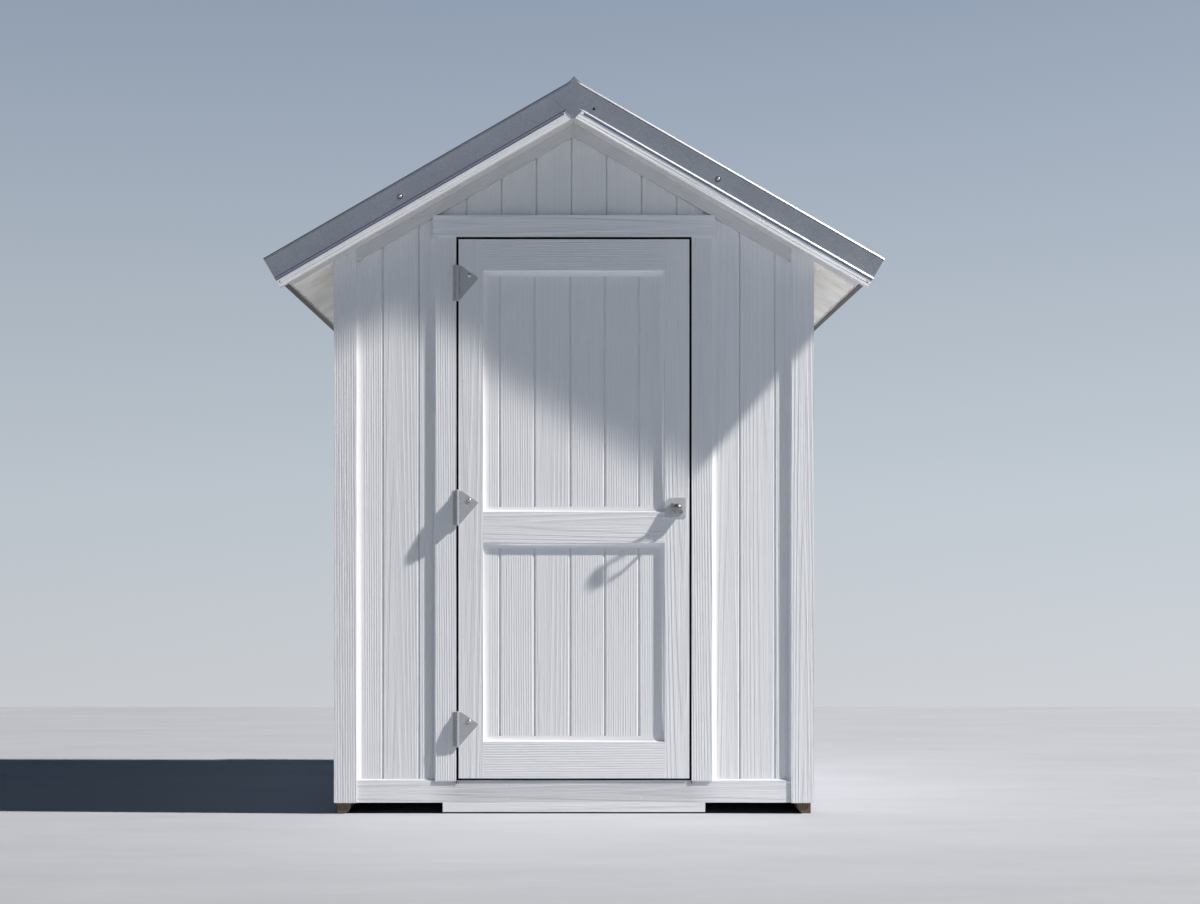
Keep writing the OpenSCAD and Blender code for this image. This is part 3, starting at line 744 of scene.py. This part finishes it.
# Painted highlight: bead and hem facing the sun on the right slope take a lighter zinc.
highlight_zinc = galvanised("galvanised steel rubbed clean at the folds", "#ADAFB3", "#BBBDC1", 0.40)
stock = new_stock()
for front in (-1, 1):
    for side in (-1, 1):
        def place(u, v, end):
            depth = v - ROOF_LINE
            proud = u > face_y + CAP * 0.55
            if end == 0 and not proud:
                return Vector((side * MITRE, front * u, roof_z(MITRE, depth)))
            if end == 0:
                end = bead_start if v < FACE / 2 else hem_start
            return on_slope(side, end, depth, front * u)
        strip_of(stock, profile, place, 0, roof_end, sunlit_fold)
assemble("verge_flashing_folds", stock, [zinc_sheet, highlight_zinc], "shed",
         ["verge_flashings"], smooth=30)

RETURN = 0.0155      # how far the drip edge turns in under the fascia
low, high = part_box("eave_flashings")
fascia = high.x / math.cos(PITCH) - CAP
profile = folded([(fascia, 0.0005), (fascia, under - CAP / 2), (fascia - RETURN, under - CAP / 2)], CAP,
                 bend=0.002)
stock = new_stock()
for side in (-1, 1):
    strip_of(stock, profile, lambda u, v, end: on_slope(side, u, v, end), low.y, high.y)
# The drip edge is drawn dark partly for its tarnish and partly as painted shade under the eaves.
tarnish_and_shade_zinc = galvanised("tarnished galvanised drip edge", "#5C5751", "#716A62", 0.45)
assemble("eave_flashing_folds", stock, [tarnish_and_shade_zinc], "shed", ["eave_flashings"], smooth=30)

# The square plate over each apex lies flat on the metal faces, where bead and hem stop.
APEX_PLATE = 0.0006      # thickness
low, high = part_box("apex_plates")
plate_z = (low.z + high.z) / 2
reach = (high.z - low.z) / 2
square = ((0, -1), (1, 0), (0, 1), (-1, 0))
stock = new_stock()
for front in (-1, 1):
    put(stock, skin([[(x * reach, front * y, plate_z + z * reach) for x, z in square]
                     for y in (front_y, front_y + APEX_PLATE)]))
assemble("apex_covers", stock, [zinc_sheet], "shed", ["apex_plates"], smooth=30)


# Roof fixings --------------------------------------------------------
# Zinc-plated hexagon screws: three rows on the ribs of each sheet. Each metal face
# has a domed screw on a black rubber washer, and a rubber plug beside the apex plate.
# A painted nail with a ring of rust holds each barge board's foot.

def turned(stock, foot, axis, profile, sides=16):
    """A turned piece: (radius, height) points swept round an axis, from its foot."""
    axis = Vector(axis).normalized()
    right = axis.orthogonal().normalized()
    up = axis.cross(right)
    turns = [math.tau * i / sides for i in range(sides)]
    put(stock, skin([[foot + axis * height + (right * math.cos(t) + up * math.sin(t)) * radius for t in turns]
                     for radius, height in profile]))


def roof_screw(stock, foot, axis):
    """A hexagon head on a washer."""
    turned(stock, foot, axis, [(0.0078, 0), (0.0078, 0.0009), (0.0066, 0.0014)], 20)
    turned(stock, foot, axis, [(0.0052, 0.0014), (0.0052, 0.0048), (0.0044, 0.0056)], 6)


def dome(stock, foot, axis, radius, rise, sides=14):
    """A domed head."""
    steps = [math.radians(90 * i / (sides // 2)) for i in range(sides // 2)]
    turned(stock, foot, axis, [(radius * math.cos(a), rise * math.sin(a)) for a in steps], sides)


def rubber(name, dark, light):
    """Weathered rubber: dull, with a fine open skin."""
    finish, tree, shader = new_finish(name)
    place = add(tree, "ShaderNodeTexCoord")
    cells = add(tree, "ShaderNodeTexVoronoi", {"Vector": place.outputs["Object"], "Scale": 1 / 0.0015})
    colour = add(tree, "ShaderNodeValToRGB", {"Fac": cells}, stops=[(0.0, dark), (1.0, light)])
    bump = add(tree, "ShaderNodeBump", {"Height": cells, "Distance": 0.0005, "Strength": 0.5})
    feed(tree, shader, {"Base Color": colour, "Roughness": 0.9, "Normal": bump})
    return finish


def plated(name, dark, light, smooth, metal):
    """Steel plated with zinc, or burnished: faintly cloudy, with a soft shine."""
    finish, tree, shader = new_finish(name)
    place = add(tree, "ShaderNodeTexCoord")
    cloud = add(tree, "ShaderNodeTexNoise", {"Vector": place.outputs["Object"], "Scale": 160.0,
                                             "Detail": 4.0, "Roughness": 0.6})
    colour = add(tree, "ShaderNodeValToRGB", {"Fac": cloud}, stops=[(0.3, dark), (0.7, light)])
    rough = add(tree, "ShaderNodeMapRange", {"Value": cloud, "To Min": smooth, "To Max": smooth + 0.15})
    bump = add(tree, "ShaderNodeBump", {"Height": cloud, "Distance": 0.0003, "Strength": 0.5})
    feed(tree, shader, {"Base Color": colour, "Metallic": metal, "Roughness": rough, "Normal": bump})
    return finish


# A blue-grey strip under each hem is painted shade: it stands for the hem's shadow on the barge board.
SHADE_STRIP_W, SHADE_STRIP_LAP, SHADE_STRIP_OUT = 0.0036, 0.002, 0.0014   # below the metal, behind it, and off the board
section = ((-SHADE_STRIP_LAP, 0.0001), (SHADE_STRIP_W, 0.0001), (SHADE_STRIP_W, SHADE_STRIP_OUT), (-SHADE_STRIP_LAP, SHADE_STRIP_OUT))
stock = new_stock()
for front in (-1, 1):
    for side in (-1, 1):
        put(stock, skin([[on_slope(side, end, FACE - ROOF_LINE + down, front * (barge.y + out))
                          for down, out in section] for end in (hem_start, roof_end)]))
assemble("verge_shade_strip", stock, [rubber("blue-grey strip of painted shade under the hem", "#525F7C", "#5F6C8A")], "shed")

ROWS = (0.24, 0.66, 1.08)            # the sheet screws, down the slope
SCREWS = {1: 0.572, -1: 0.474}       # the domed screws left and right of the gable's middle
SCREW_DOWN = 0.049                   # and below the roof line
PLUG, PLUG_DOWN = 0.066, 0.053       # the rubber plug on the right, the same way
NAIL_IN, NAIL_DOWN = 0.0105, 0.0130  # the nail, from the board's end and below the metal
screws, domed, washers, heads, stains = [new_stock() for _ in range(5)]
for side in (-1, 1):
    normal = Vector((side * math.sin(PITCH), 0, math.cos(PITCH)))
    for along in ROWS:
        for crest in crests[1:-1:2]:
            roof_screw(screws, on_slope(side, along, -SHEET - RIB_RISE, crest), normal)
    for front in (-1, 1):
        out = Vector((0, front, 0))
        aside = SCREWS[side * front]
        foot = Vector((side * aside, front * front_y, roof_z(aside, SCREW_DOWN - ROOF_LINE)))
        turned(washers, foot, out, [(0.0088, 0), (0.0088, 0.0009), (0.0080, 0.0013)], 24)
        dome(domed, foot + out * 0.0012, out, 0.0066, 0.0044, 20)
        if side * front < 0:
            foot = Vector((side * PLUG, front * front_y, roof_z(PLUG, PLUG_DOWN - ROOF_LINE)))
            dome(washers, foot, out, 0.0046, 0.0016)
        foot = on_slope(side, barge_end - NAIL_IN, FACE - ROOF_LINE + NAIL_DOWN, front * barge.y)
        turned(stains, foot, out, [(0.0045, 0), (0.0042, 0.0003)], 18)
        dome(heads, foot + out * 0.0002, out, 0.0026, 0.0007)
polished = plated("polished zinc plated steel", "#BCBFC3", "#CDD0D3", 0.16, 0.8)
assemble("roof_screws", screws, [zinc_sheet], "shed", smooth=30)
assemble("verge_screws", domed, [polished], "shed", smooth=40)
assemble("barge_nails", heads, [trim_paint], "shed", smooth=50)
rusty_paint = painted_softwood("white exterior paint stained by rust", "#C0A99C", "#B59C8E", 0.0004, 0.8)
assemble("barge_nail_stains", stains, [rusty_paint], "shed", smooth=50)
assemble("verge_washers", washers, [rubber("black rubber washer", "#08080A", "#111114")], "shed",
         smooth=40)


# Door ----------------------------------------------------------------
# A framed and boarded leaf: two stiles and three rails on V-jointed boards. It
# closes on a black foam seal; the thin black strips that line the frame round it are
# painted shade, so that the gap round the leaf reads dark.

DOOR_VEE = 0.0055
DOOR_JOINTS = [-0.249, -0.133, -0.013, 0.102, 0.217]
low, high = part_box("door_boards")
stock = new_stock()
tongued(stock, lambda a, d, l: Vector((a, low.y + d, l)), [low.x] + DOOR_JOINTS + [high.x],
        lambda a, d: low.z, lambda a, d: high.z, high.y - low.y, DOOR_VEE, outside((0, -1, 0)))
assemble("door_leaf_boards", stock, [painted, bare], "door", ["door_boards"])
door_frame = ("door_stile_left", "door_stile_right", "door_rails")
for node in door_frame:
    timbers(node + "_painted", node, FINE_ARRIS, trim_paint, "door")

stile_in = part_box("door_stile_right")[0].x
rails = sorted((min(vert.co.z for vert in rail.verts), max(vert.co.z for vert in rail.verts))
               for rail in solids_of("door_rails"))
stock = new_stock()
for below, above in zip(rails, rails[1:]):
    fillet(stock, (0, -1, 0), [Vector((x, low.y, z)) for x, z in
                               ((-stile_in, above[0]), (-stile_in, below[1]), (stile_in, below[1]),
                                (stile_in, above[0]))], closed=True)
assemble("door_sealant", stock, [sealant], "door", smooth=50)


def block(low, high):
    """A solid box between two corners."""
    solid = bmesh.new()
    bmesh.ops.create_cube(solid, size=1)
    for vert in solid.verts:
        vert.co = Vector([low[i] + (high[i] - low[i]) * (vert.co[i] + 0.5) for i in range(3)])
    return solid


SEAL = 0.0052        # thickness of the seal, a little less than the room behind the leaf
STOP = 0.007         # how far the posts stand in behind the leaf's edges
LOW_SEAL = 0.014     # height of the seal along the floor
SHADE_LINING = 0.001       # thickness of the black strips, which paint the shade in the door's gap
SHADE_LINING_IN = 0.002    # and how far behind the casing's face they start
CLEAR = 0.0003       # left free beside the wall boards and under the gable's
post_x = high.x - STOP
post_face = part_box("door_posts")[0].y
seal_back = post_face - SEAL
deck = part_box("floor_deck")[1].z
jamb = wall_low.x - CLEAR
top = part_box("front_gable")[0].z - CLEAR
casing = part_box("door_casing_right")[0]
reveal, shade_lining_y = casing.x, casing.y + SHADE_LINING_IN
stock = new_stock()
for strip in (block((-jamb, seal_back, deck), (-post_x, post_face, top)),
              block((post_x, seal_back, deck), (jamb, post_face, top)),
              block((-post_x, seal_back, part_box("door_lintel")[0].z + 0.001), (post_x, post_face, top)),
              block((-post_x, seal_back, deck), (post_x, post_face, deck + LOW_SEAL))):
    ease(strip, 0.001)
    put(stock, strip)
# Painted shade: thin black strips line the reveal, so that the gap round the leaf reads dark.
for strip in (block((-reveal, shade_lining_y, deck), (-reveal + SHADE_LINING, seal_back, head_foot)),
              block((reveal - SHADE_LINING, shade_lining_y, deck), (reveal, seal_back, head_foot)),
              block((-reveal + SHADE_LINING, shade_lining_y, head_foot - SHADE_LINING),
                    (reveal - SHADE_LINING, seal_back, head_foot))):
    put(stock, strip)
foam = rubber("black foam rubber, also painted shade in the door gap", "#060607", "#0E0E10")
assemble("door_gap_shade_seal", stock, [foam], "shed", smooth=40)


# Nail heads ----------------------------------------------------------
# Galvanised lost-head nails through the trim, set flush and painted over: one about
# every 420 mm along a board, in pairs where it is wide.

PAIRED = 0.06        # boards wider than this take pairs
EDGE, END = 0.014, 0.05      # from the board's edge, and from its end
SPACING = 0.42
HEAD_CLEAR = 0.15    # none stands nearer the roof boards, where a board's head is cut to the slope


def nail(stock, node):
    """Nails along each board of a node, in pairs where it is wide."""
    for solid in solids_of(node):
        low = Vector([min(vert.co[i] for vert in solid.verts) for i in range(3)])
        high = Vector([max(vert.co[i] for vert in solid.verts) for i in range(3)])
        solid.free()
        size = high - low
        thin, wide, long = sorted(range(3), key=lambda i: size[i])
        out = 1 if low[thin] + high[thin] > 0 else -1
        face = high[thin] if out > 0 else low[thin]
        axis = Vector([out if i == thin else 0 for i in range(3)])
        spread = size[wide] / 2 - EDGE if size[wide] > PAIRED else 0
        reach = size[long] - 2 * END
        count = max(2, round(reach / SPACING) + 1)
        for i in range(count):
            for across in ((-spread, spread) if spread else (0,)):
                foot = Vector((0, 0, 0))
                foot[thin] = face - out * 0.0002
                foot[wide] = (low[wide] + high[wide]) / 2 + across + pick.uniform(-0.002, 0.002)
                foot[long] = low[long] + END + reach * i / (count - 1) + pick.uniform(-0.004, 0.004)
                if depth_of(foot.x, foot.z) > HEAD_CLEAR:
                    dome(stock, foot, axis, 0.0024, 0.0005)


nailed = ("corner_boards_ends", "corner_boards_sides", "sill_boards", "door_casing_left",
          "door_casing_right", "door_casing_head")
for name, nodes, body in (("trim_nails", nailed, "shed"), ("door_nails", door_frame, "door")):
    stock = new_stock()
    for node in nodes:
        nail(stock, node)
    assemble(name, stock, [trim_paint], body, smooth=50)


# Hinges --------------------------------------------------------------
# Pressed steel, dull zinc: a folded leaf with the knuckles on each side of the
# joint, a pin with riveted ends, a domed bolt in the door and flush screws in the frame.

def hardware(name, node, width, finish, body):
    """CAD metalwork with its edges eased."""
    stock = new_stock()
    for solid in solids_of(node):
        ease(solid, width)
        put(stock, solid)
    assemble(name, stock, [finish], body, [node], smooth=30)


BARREL = 0.116       # length of a hinge
PLATE = 0.002        # thickness of a leaf
PIN_IN = 0.0065      # from the face of the knuckles in to the pin's axis
FLUSH_X, FLUSH_Z = -0.0098, 0.044    # the flush screws, from the pin and the hinge's middle
BOLT_X, BOLT_Z = 0.039, 0.026        # the bolt, the same way
MIDDLE_HINGE = 1.020
zinc_plate = plated("dull zinc plated pressed steel", "#A6A7A9", "#B6B7B9", 0.42, 0.3)
hardware("hinge_plates_frame", "hinge_frame_plates", 0.0003, zinc_plate, "shed")
hardware("hinge_plates_door", "hinge_door_plates", 0.0003, zinc_plate, "door")
low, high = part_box("hinge_frame_plates")
leaf_face = high.y - PLATE
pin_x, pin_y = -0.3885, low.y + PIN_IN
heights = (low.z + BARREL / 2, MIDDLE_HINGE, high.z - BARREL / 2)
on_frame, on_door = new_stock(), new_stock()
for height in heights:
    for end in (-1, 1):
        dome(on_frame, Vector((pin_x, pin_y, height + end * BARREL / 2)), (0, 0, end), 0.0048, 0.0026)
        dome(on_frame, Vector((pin_x + FLUSH_X, leaf_face, height + end * FLUSH_Z)), (0, -1, 0),
             0.0034, 0.0006)
    dome(on_door, Vector((pin_x + BOLT_X, leaf_face, height + BOLT_Z)), (0, -1, 0), 0.0075, 0.0052, 24)
assemble("hinge_screws", on_frame, [zinc_plate], "shed", smooth=40)
assemble("hinge_bolts", on_door, [polished], "door", smooth=40)


# Latch ---------------------------------------------------------------
# A clipped square plate of bright zinc plated steel, screwed to the stile, and a
# turned knob of burnished steel on a spindle, with a flat thumb lever behind it.

bright_plate = plated("bright zinc plated steel", "#BDBEC0", "#CFD0D2", 0.34, 0.3)
burnished = plated("burnished steel", "#8F8B87", "#A6A29D", 0.14, 0.9)
hardware("latch_back_plate", "latch_plate", 0.0004, bright_plate, "door")
low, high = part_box("latch_plate")
INSET = 0.007        # of the screws from the plate's edges
INSET_LEFT = 0.020   # and from its left edge, where the corners are clipped
left, right = low.x + INSET_LEFT, high.x - INSET
stock = new_stock()
for x, z in ((left, low.z + INSET), (right, low.z + INSET), (right, high.z - INSET),
             (left, high.z - INSET)):
    dome(stock, Vector((x, low.y, z)), (0, -1, 0), 0.0026, 0.0008)
assemble("latch_screws", stock, [bright_plate], "door", smooth=40)

knob_low, knob_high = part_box("latch_handle")
centre = Vector(((knob_low.x + knob_high.x) / 2, low.y, (knob_low.z + knob_high.z) / 2))
KNOB, SPINDLE = 0.0155, 0.007    # radii
stock = new_stock()
turned(stock, centre, (0, -1, 0),
       [(SPINDLE, 0.0004), (SPINDLE, 0.0126), (KNOB * 0.7, 0.0136), (KNOB * 0.95, 0.0150), (KNOB, 0.0168),
        (KNOB * 0.98, 0.0190), (KNOB * 0.92, 0.0212), (KNOB * 0.82, 0.0232), (KNOB * 0.66, 0.0250),
        (KNOB * 0.46, 0.0263), (KNOB * 0.24, 0.0269), (KNOB * 0.05, 0.0270)], 40)
LEVER, BLADE = 0.050, 0.011      # length and width of the lever, which has round ends
LEVER_BACK, LEVER_FRONT = 0.001, 0.005   # its faces, out from the plate
slope = math.radians(-39)        # the lever at rest
rim = []
for end in (1, -1):
    for i in range(9):
        turn = math.radians(-90 + i * 22.5)
        rim.append((end * (LEVER / 2 - BLADE / 2 + BLADE / 2 * math.cos(turn)),
                    end * BLADE / 2 * math.sin(turn)))
lever = skin([[centre + Vector((u * math.cos(slope) - v * math.sin(slope), -out,
                                u * math.sin(slope) + v * math.cos(slope))) for u, v in rim]
              for out in (LEVER_BACK, LEVER_FRONT)])
ease(lever, 0.0008)
put(stock, lever)
assemble("latch_knob", stock, [burnished], "latch", ["latch_handle"], smooth=35)


# Floor ---------------------------------------------------------------
# A pale screed with a straight far edge, with painted shade under the shed. It is no
# part of the shed, and is only there to stand it on.

WIDE = 40            # how far the screed reaches to either side and to the front
FAR_EDGE = 2.85      # how far behind the shed's middle it ends
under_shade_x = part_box("bearers")[1].x
under_shade_y = -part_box("doorstep")[0].y


def screed():
    """Brushed screed: almost white, with faint streaks from side to side."""
    finish, tree, shader = new_finish("pale brushed screed")
    place = add(tree, "ShaderNodeTexCoord")
    drawn = add(tree, "ShaderNodeVectorMath", {0: place.outputs["Object"], 1: (0.35, 1.6, 1)},
                operation="MULTIPLY")
    cloud = add(tree, "ShaderNodeTexNoise", {"Vector": drawn, "Scale": 3.0, "Detail": 10.0,
                                             "Roughness": 0.72})
    colour = add(tree, "ShaderNodeValToRGB", {"Fac": cloud}, stops=[(0.3, "#B2B4BF"), (0.7, "#BEC0CA")])
    part = add(tree, "ShaderNodeSeparateXYZ", {0: place.outputs["Object"]})
    # The screed is drawn darker towards the left and towards the front.
    for way, start, end in (("X", -2.5, 1.0), ("Y", -2.0, -0.8)):
        darkening = add(tree, "ShaderNodeMapRange", {"Value": part.outputs[way], "From Min": start,
                                                "From Max": end, "To Min": 0.89, "To Max": 1.0})
        colour = add(tree, "ShaderNodeVectorMath", {0: colour, 1: darkening}, operation="MULTIPLY")
    # Painted shade: under the shed the screed is darkened to a tenth.
    aside = add(tree, "ShaderNodeMath", {0: part.outputs["X"]}, operation="ABSOLUTE")
    beyond = add(tree, "ShaderNodeMath", {0: part.outputs["Y"]}, operation="ABSOLUTE")
    wide = add(tree, "ShaderNodeMath", {0: aside, 1: under_shade_x}, operation="DIVIDE")
    deep = add(tree, "ShaderNodeMath", {0: beyond, 1: under_shade_y}, operation="DIVIDE")
    apart = add(tree, "ShaderNodeMath", {0: wide, 1: deep}, operation="MAXIMUM")
    under_shade = add(tree, "ShaderNodeMapRange", {"Value": apart, "From Min": 0.99, "From Max": 1.0,
                                            "To Min": 0.1, "To Max": 1.0})
    colour = add(tree, "ShaderNodeVectorMath", {0: colour, 1: under_shade}, operation="MULTIPLY")
    bump = add(tree, "ShaderNodeBump", {"Height": cloud, "Distance": 0.004, "Strength": 0.5})
    feed(tree, shader, {"Base Color": colour, "Roughness": 0.9, "Normal": bump})
    return finish


floor_mesh = bpy.data.meshes.new("floor")
floor_mesh.from_pydata([(-WIDE, -WIDE, 0), (WIDE, -WIDE, 0), (WIDE, FAR_EDGE, 0), (-WIDE, FAR_EDGE, 0)],
                       [], [(0, 1, 2, 3)])
floor_mesh.materials.append(screed())
floor = bpy.data.objects.new("floor", floor_mesh)
scene.collection.objects.link(floor)


# Light ---------------------------------------------------------------
# A sun from the upper right, as one lamp each for the shed, its door and its roof's
# edges. A lower one lights the floor, and a weak one from below is its glow under the
# eaves. Cloths and cards that only the lamps see trim the light.

def sun(name, way, power, colour, width):
    """A sun lamp that shines along a way."""
    data = bpy.data.lights.new(name, "SUN")
    data.energy = power
    data.angle = math.radians(width)
    data.color = colour
    lamp = bpy.data.objects.new(name, data)
    lamp.rotation_euler = way.to_track_quat("-Z", "Y").to_euler()
    scene.collection.objects.link(lamp)
    return lamp


def linked(name, members, state):
    """A light group that holds some objects, or leaves them out."""
    group = bpy.data.collections.new(name)
    for piece in members:
        group.objects.link(piece)
    for member in group.collection_objects:
        member.light_linking.link_state = state
    return group


def pieces(*names):
    """The pieces with these names."""
    return [bpy.data.objects[name] for name in names]


SUN = (4.15, (1, 0.95, 0.905), 2.4)      # power, colour and width in degrees
sun_way = Vector((-2.1, 1, -2.25))
shed_sun = sun("sun on the shed", sun_way, *SUN)
door_sun = sun("sun on the door", sun_way, *SUN)
edge_sun = sun("sun on the roof edges", sun_way, *SUN)
floor_sun = sun("sun on the floor", Vector((-19, 0.8, -17)), 5.5, (1, 0.97, 0.885), 1.0)
glow_sun = sun("glow under the eaves", Vector((0, 0.3, 1)), 0.85, (1, 0.99, 0.96), 30.0)
roof_edges = pieces("barge_boards_painted", "verge_flashing_folds", "apex_covers", "verge_screws",
                    "verge_washers", "verge_shade_strip", "barge_nails", "barge_nail_stains")
leaf = pieces("door_leaf_boards", "door_stile_left_painted", "door_stile_right_painted",
              "door_rails_painted", "door_sealant", "door_nails", "hinge_plates_door", "hinge_bolts",
              "latch_back_plate", "latch_screws", "latch_knob")
soffits = pieces("soffit_boards", "verge_rafters_painted")
walls = pieces("front_boards_left", "front_boards_right", "gable_boards_front", "back_boards", "left_boards",
               "right_boards", "corner_boards_ends_painted", "corner_boards_sides_painted",
               "sill_boards_painted", "doorstep_painted", "door_leaf_boards", "ground_bearers")
lit_apart = [floor] + roof_edges + leaf
for lamp, name, members, state in ((shed_sun, "the walls and the roof", lit_apart, "EXCLUDE"),
                                   (door_sun, "only the door", leaf, "INCLUDE"),
                                   (edge_sun, "only the roof edges", roof_edges, "INCLUDE"),
                                   (floor_sun, "only the floor", [floor], "INCLUDE"),
                                   (glow_sun, "only the soffits", soffits, "INCLUDE")):
    lamp.light_linking.receiver_collection = linked(name, members, state)
glow_sun.light_linking.blocker_collection = linked("all but the floor", [floor], "EXCLUDE")
floor_sun.light_linking.blocker_collection = linked("only the walls", walls, "INCLUDE")


def screen(name, points, faces, cover):
    """A cloth that only the lamps see. cover is the share of the light that it stops, or a
    function that works it out in the cloth's own nodes."""
    mesh = bpy.data.meshes.new(name)
    mesh.from_pydata(points, [], faces)
    made = bpy.data.objects.new(name, mesh)
    for ray in ("camera", "diffuse", "glossy", "transmission"):
        setattr(made, "visible_" + ray, False)
    scene.collection.objects.link(made)
    cloth = bpy.data.materials.new(name + " cloth")
    cloth.use_nodes = True
    mesh.materials.append(cloth)
    tree = cloth.node_tree
    tree.nodes.clear()
    share = cover(tree) if callable(cover) else cover
    clear = add(tree, "ShaderNodeBsdfTransparent")
    black = add(tree, "ShaderNodeBsdfDiffuse", {"Color": "#000000"})
    mixed = add(tree, "ShaderNodeMixShader", {0: share, 1: clear, 2: black})
    add(tree, "ShaderNodeOutputMaterial", {"Surface": mixed})
    return made


# The flag's top edge throws its shadow along the roof's edge. Its bottom edge is
# the barge boards' outline nearer the sun, and fades out.
FADE = 0.06          # half the height of the fade
FLAG_OUT = 0.29      # how far the flag stands in front of the wall
FLAG_TOP = 0.004     # how far below the roof line its shadow starts
barge_y = -barge.y
flag_y = wall_low.y - FLAG_OUT


def fading(tree):
    """Full cover, but for a soft bottom edge that runs with the slopes."""
    place = add(tree, "ShaderNodeTexCoord")
    part = add(tree, "ShaderNodeSeparateXYZ", {0: place.outputs["Object"]})
    aside = add(tree, "ShaderNodeMath", {0: part.outputs["X"]}, operation="ABSOLUTE")
    level = add(tree, "ShaderNodeMath", {0: aside, 1: math.tan(PITCH), 2: part.outputs["Z"]},
                operation="MULTIPLY_ADD")
    return add(tree, "ShaderNodeMapRange", {"Value": level, "From Min": roof_z(0, under + FADE),
                                            "From Max": roof_z(0, under - FADE)})


points = []
for depth, move in ((FLAG_TOP - ROOF_LINE, sun_way * (flag_y - barge_y)), (under + FADE, Vector((0, 0, 0)))):
    for point in (on_slope(-1, roof_end, depth, barge_y), Vector((0, barge_y, roof_z(0, depth))),
                  on_slope(1, roof_end, depth, barge_y)):
        point += move
        point.y = flag_y
        points.append(point)
flag = screen("flag", points, [(0, 1, 4, 3), (1, 2, 5, 4)], fading)
edge_sun.light_linking.blocker_collection = linked("all but flag and verge",
                                                   [flag] + pieces("verge_flashing_folds"), "EXCLUDE")

# The scrim stands close to the wall that faces the sun, and stops 36 per cent of its light.
SCRIM, SCRIM_OUT = 0.36, 0.004
scrim_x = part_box("corner_boards_sides")[1].x + SCRIM_OUT
reach_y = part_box("corner_boards_ends")[1].y
screen("scrim", [(scrim_x, y, z) for y, z in ((-reach_y, 0), (reach_y, 0), (reach_y, eave_foot),
                                              (-reach_y, eave_foot))], [(0, 1, 2, 3)], SCRIM)

# Black cards on edge before two hinges and the latch draw their shadows out long and low.
# Their outlines are given as (out from the trim, up from the middle).
for name, height, reach in (("hinge card middle", heights[1], 0.066),
                            ("hinge card low", heights[0], 0.036)):
    screen(name, [(pin_x, trim_face - out * reach, height + up * BARREL / 2) for out, up in
                  ((0, 1), (0, -1), (0.5, -0.83), (0.9, -0.3), (1, 0), (1, 0.45), (0.64, 1))],
           [range(7)], 1.0)
grip = [(0, -0.022), (0, -0.033), (0.020, -0.043), (0.031, -0.037), (0.050, 0.005), (0.050, 0.024),
        (0.031, 0.050), (0.016, 0.040)]
upper = [(0.050, 0.010), (0.092, 0.056), (0.094, 0.072), (0.050, 0.024)]
lower = [(0.018, -0.045), (0.039, -0.032), (0.073, -0.022), (0.094, 0.000), (0.088, 0.010), (0.070, -0.012),
         (0.039, -0.020), (0.018, -0.032)]
tip = [(0.094, 0.000), (0.117, 0.026), (0.128, 0.074), (0.117, 0.092), (0.094, 0.072)]
points, faces = [], []
for outline in (grip, upper, lower, tip):
    faces.append(range(len(points), len(points) + len(outline)))
    points += [(centre.x, trim_face - out, centre.z + up) for out, up in outline]
latch_card = screen("latch card", points, faces, 1.0)
shed_sun.light_linking.blocker_collection = linked("all but the latch card", [latch_card], "EXCLUDE")


# Sky -----------------------------------------------------------------
# What is seen, also in the metal, runs from pale grey at the floor to blue-grey.
# What lights the shed is a blue band above the floor's edge, and the floor.

world = bpy.data.worlds.new("sky")
scene.world = world
world.use_nodes = True
tree = world.node_tree
tree.nodes.clear()
way = add(tree, "ShaderNodeTexCoord")
part = add(tree, "ShaderNodeSeparateXYZ", {0: way.outputs["Generated"]})
rise = add(tree, "ShaderNodeMapRange", {"Value": part.outputs["Z"], "From Min": -0.1, "From Max": 0.9})
seen = add(tree, "ShaderNodeValToRGB", {"Fac": rise},
           stops=[(0.0, "#CDD0D5"), (0.14, "#C0C9D1"), (0.44, "#94A2B5"), (0.5, "#8C9BAF"),
                  (0.66, "#4A5F80"), (1.0, "#3C5273")])
tilt = add(tree, "ShaderNodeMapRange", {"Value": part.outputs["X"], "From Min": -0.4, "From Max": 0.4,
                                        "To Min": 0.93, "To Max": 1.03})
seen = add(tree, "ShaderNodeVectorMath", {0: seen, 1: tilt}, operation="MULTIPLY")
band = add(tree, "ShaderNodeMapRange", {"Value": part.outputs["Z"], "From Min": -0.1, "From Max": 0.6})
lit = add(tree, "ShaderNodeValToRGB", {"Fac": band},
          stops=[(0.13, "#D0D2D6"), (0.15, "#7F9CB8"), (0.5, "#7F9CB8"), (0.8, "#000000")])
ray = add(tree, "ShaderNodeLightPath").outputs
shown = add(tree, "ShaderNodeMath", {0: ray["Is Camera Ray"], 1: ray["Is Glossy Ray"]}, operation="MAXIMUM")
shown = add(tree, "ShaderNodeMath", {0: shown, 1: ray["Is Transmission Ray"]}, operation="MAXIMUM")
backdrop = add(tree, "ShaderNodeBackground", {"Color": seen, "Strength": 1.0})
glow = add(tree, "ShaderNodeBackground", {"Color": lit, "Strength": 1.0})
sky = add(tree, "ShaderNodeMixShader", {0: shown, 1: glow, 2: backdrop})
add(tree, "ShaderNodeOutputWorld", {"Surface": sky})
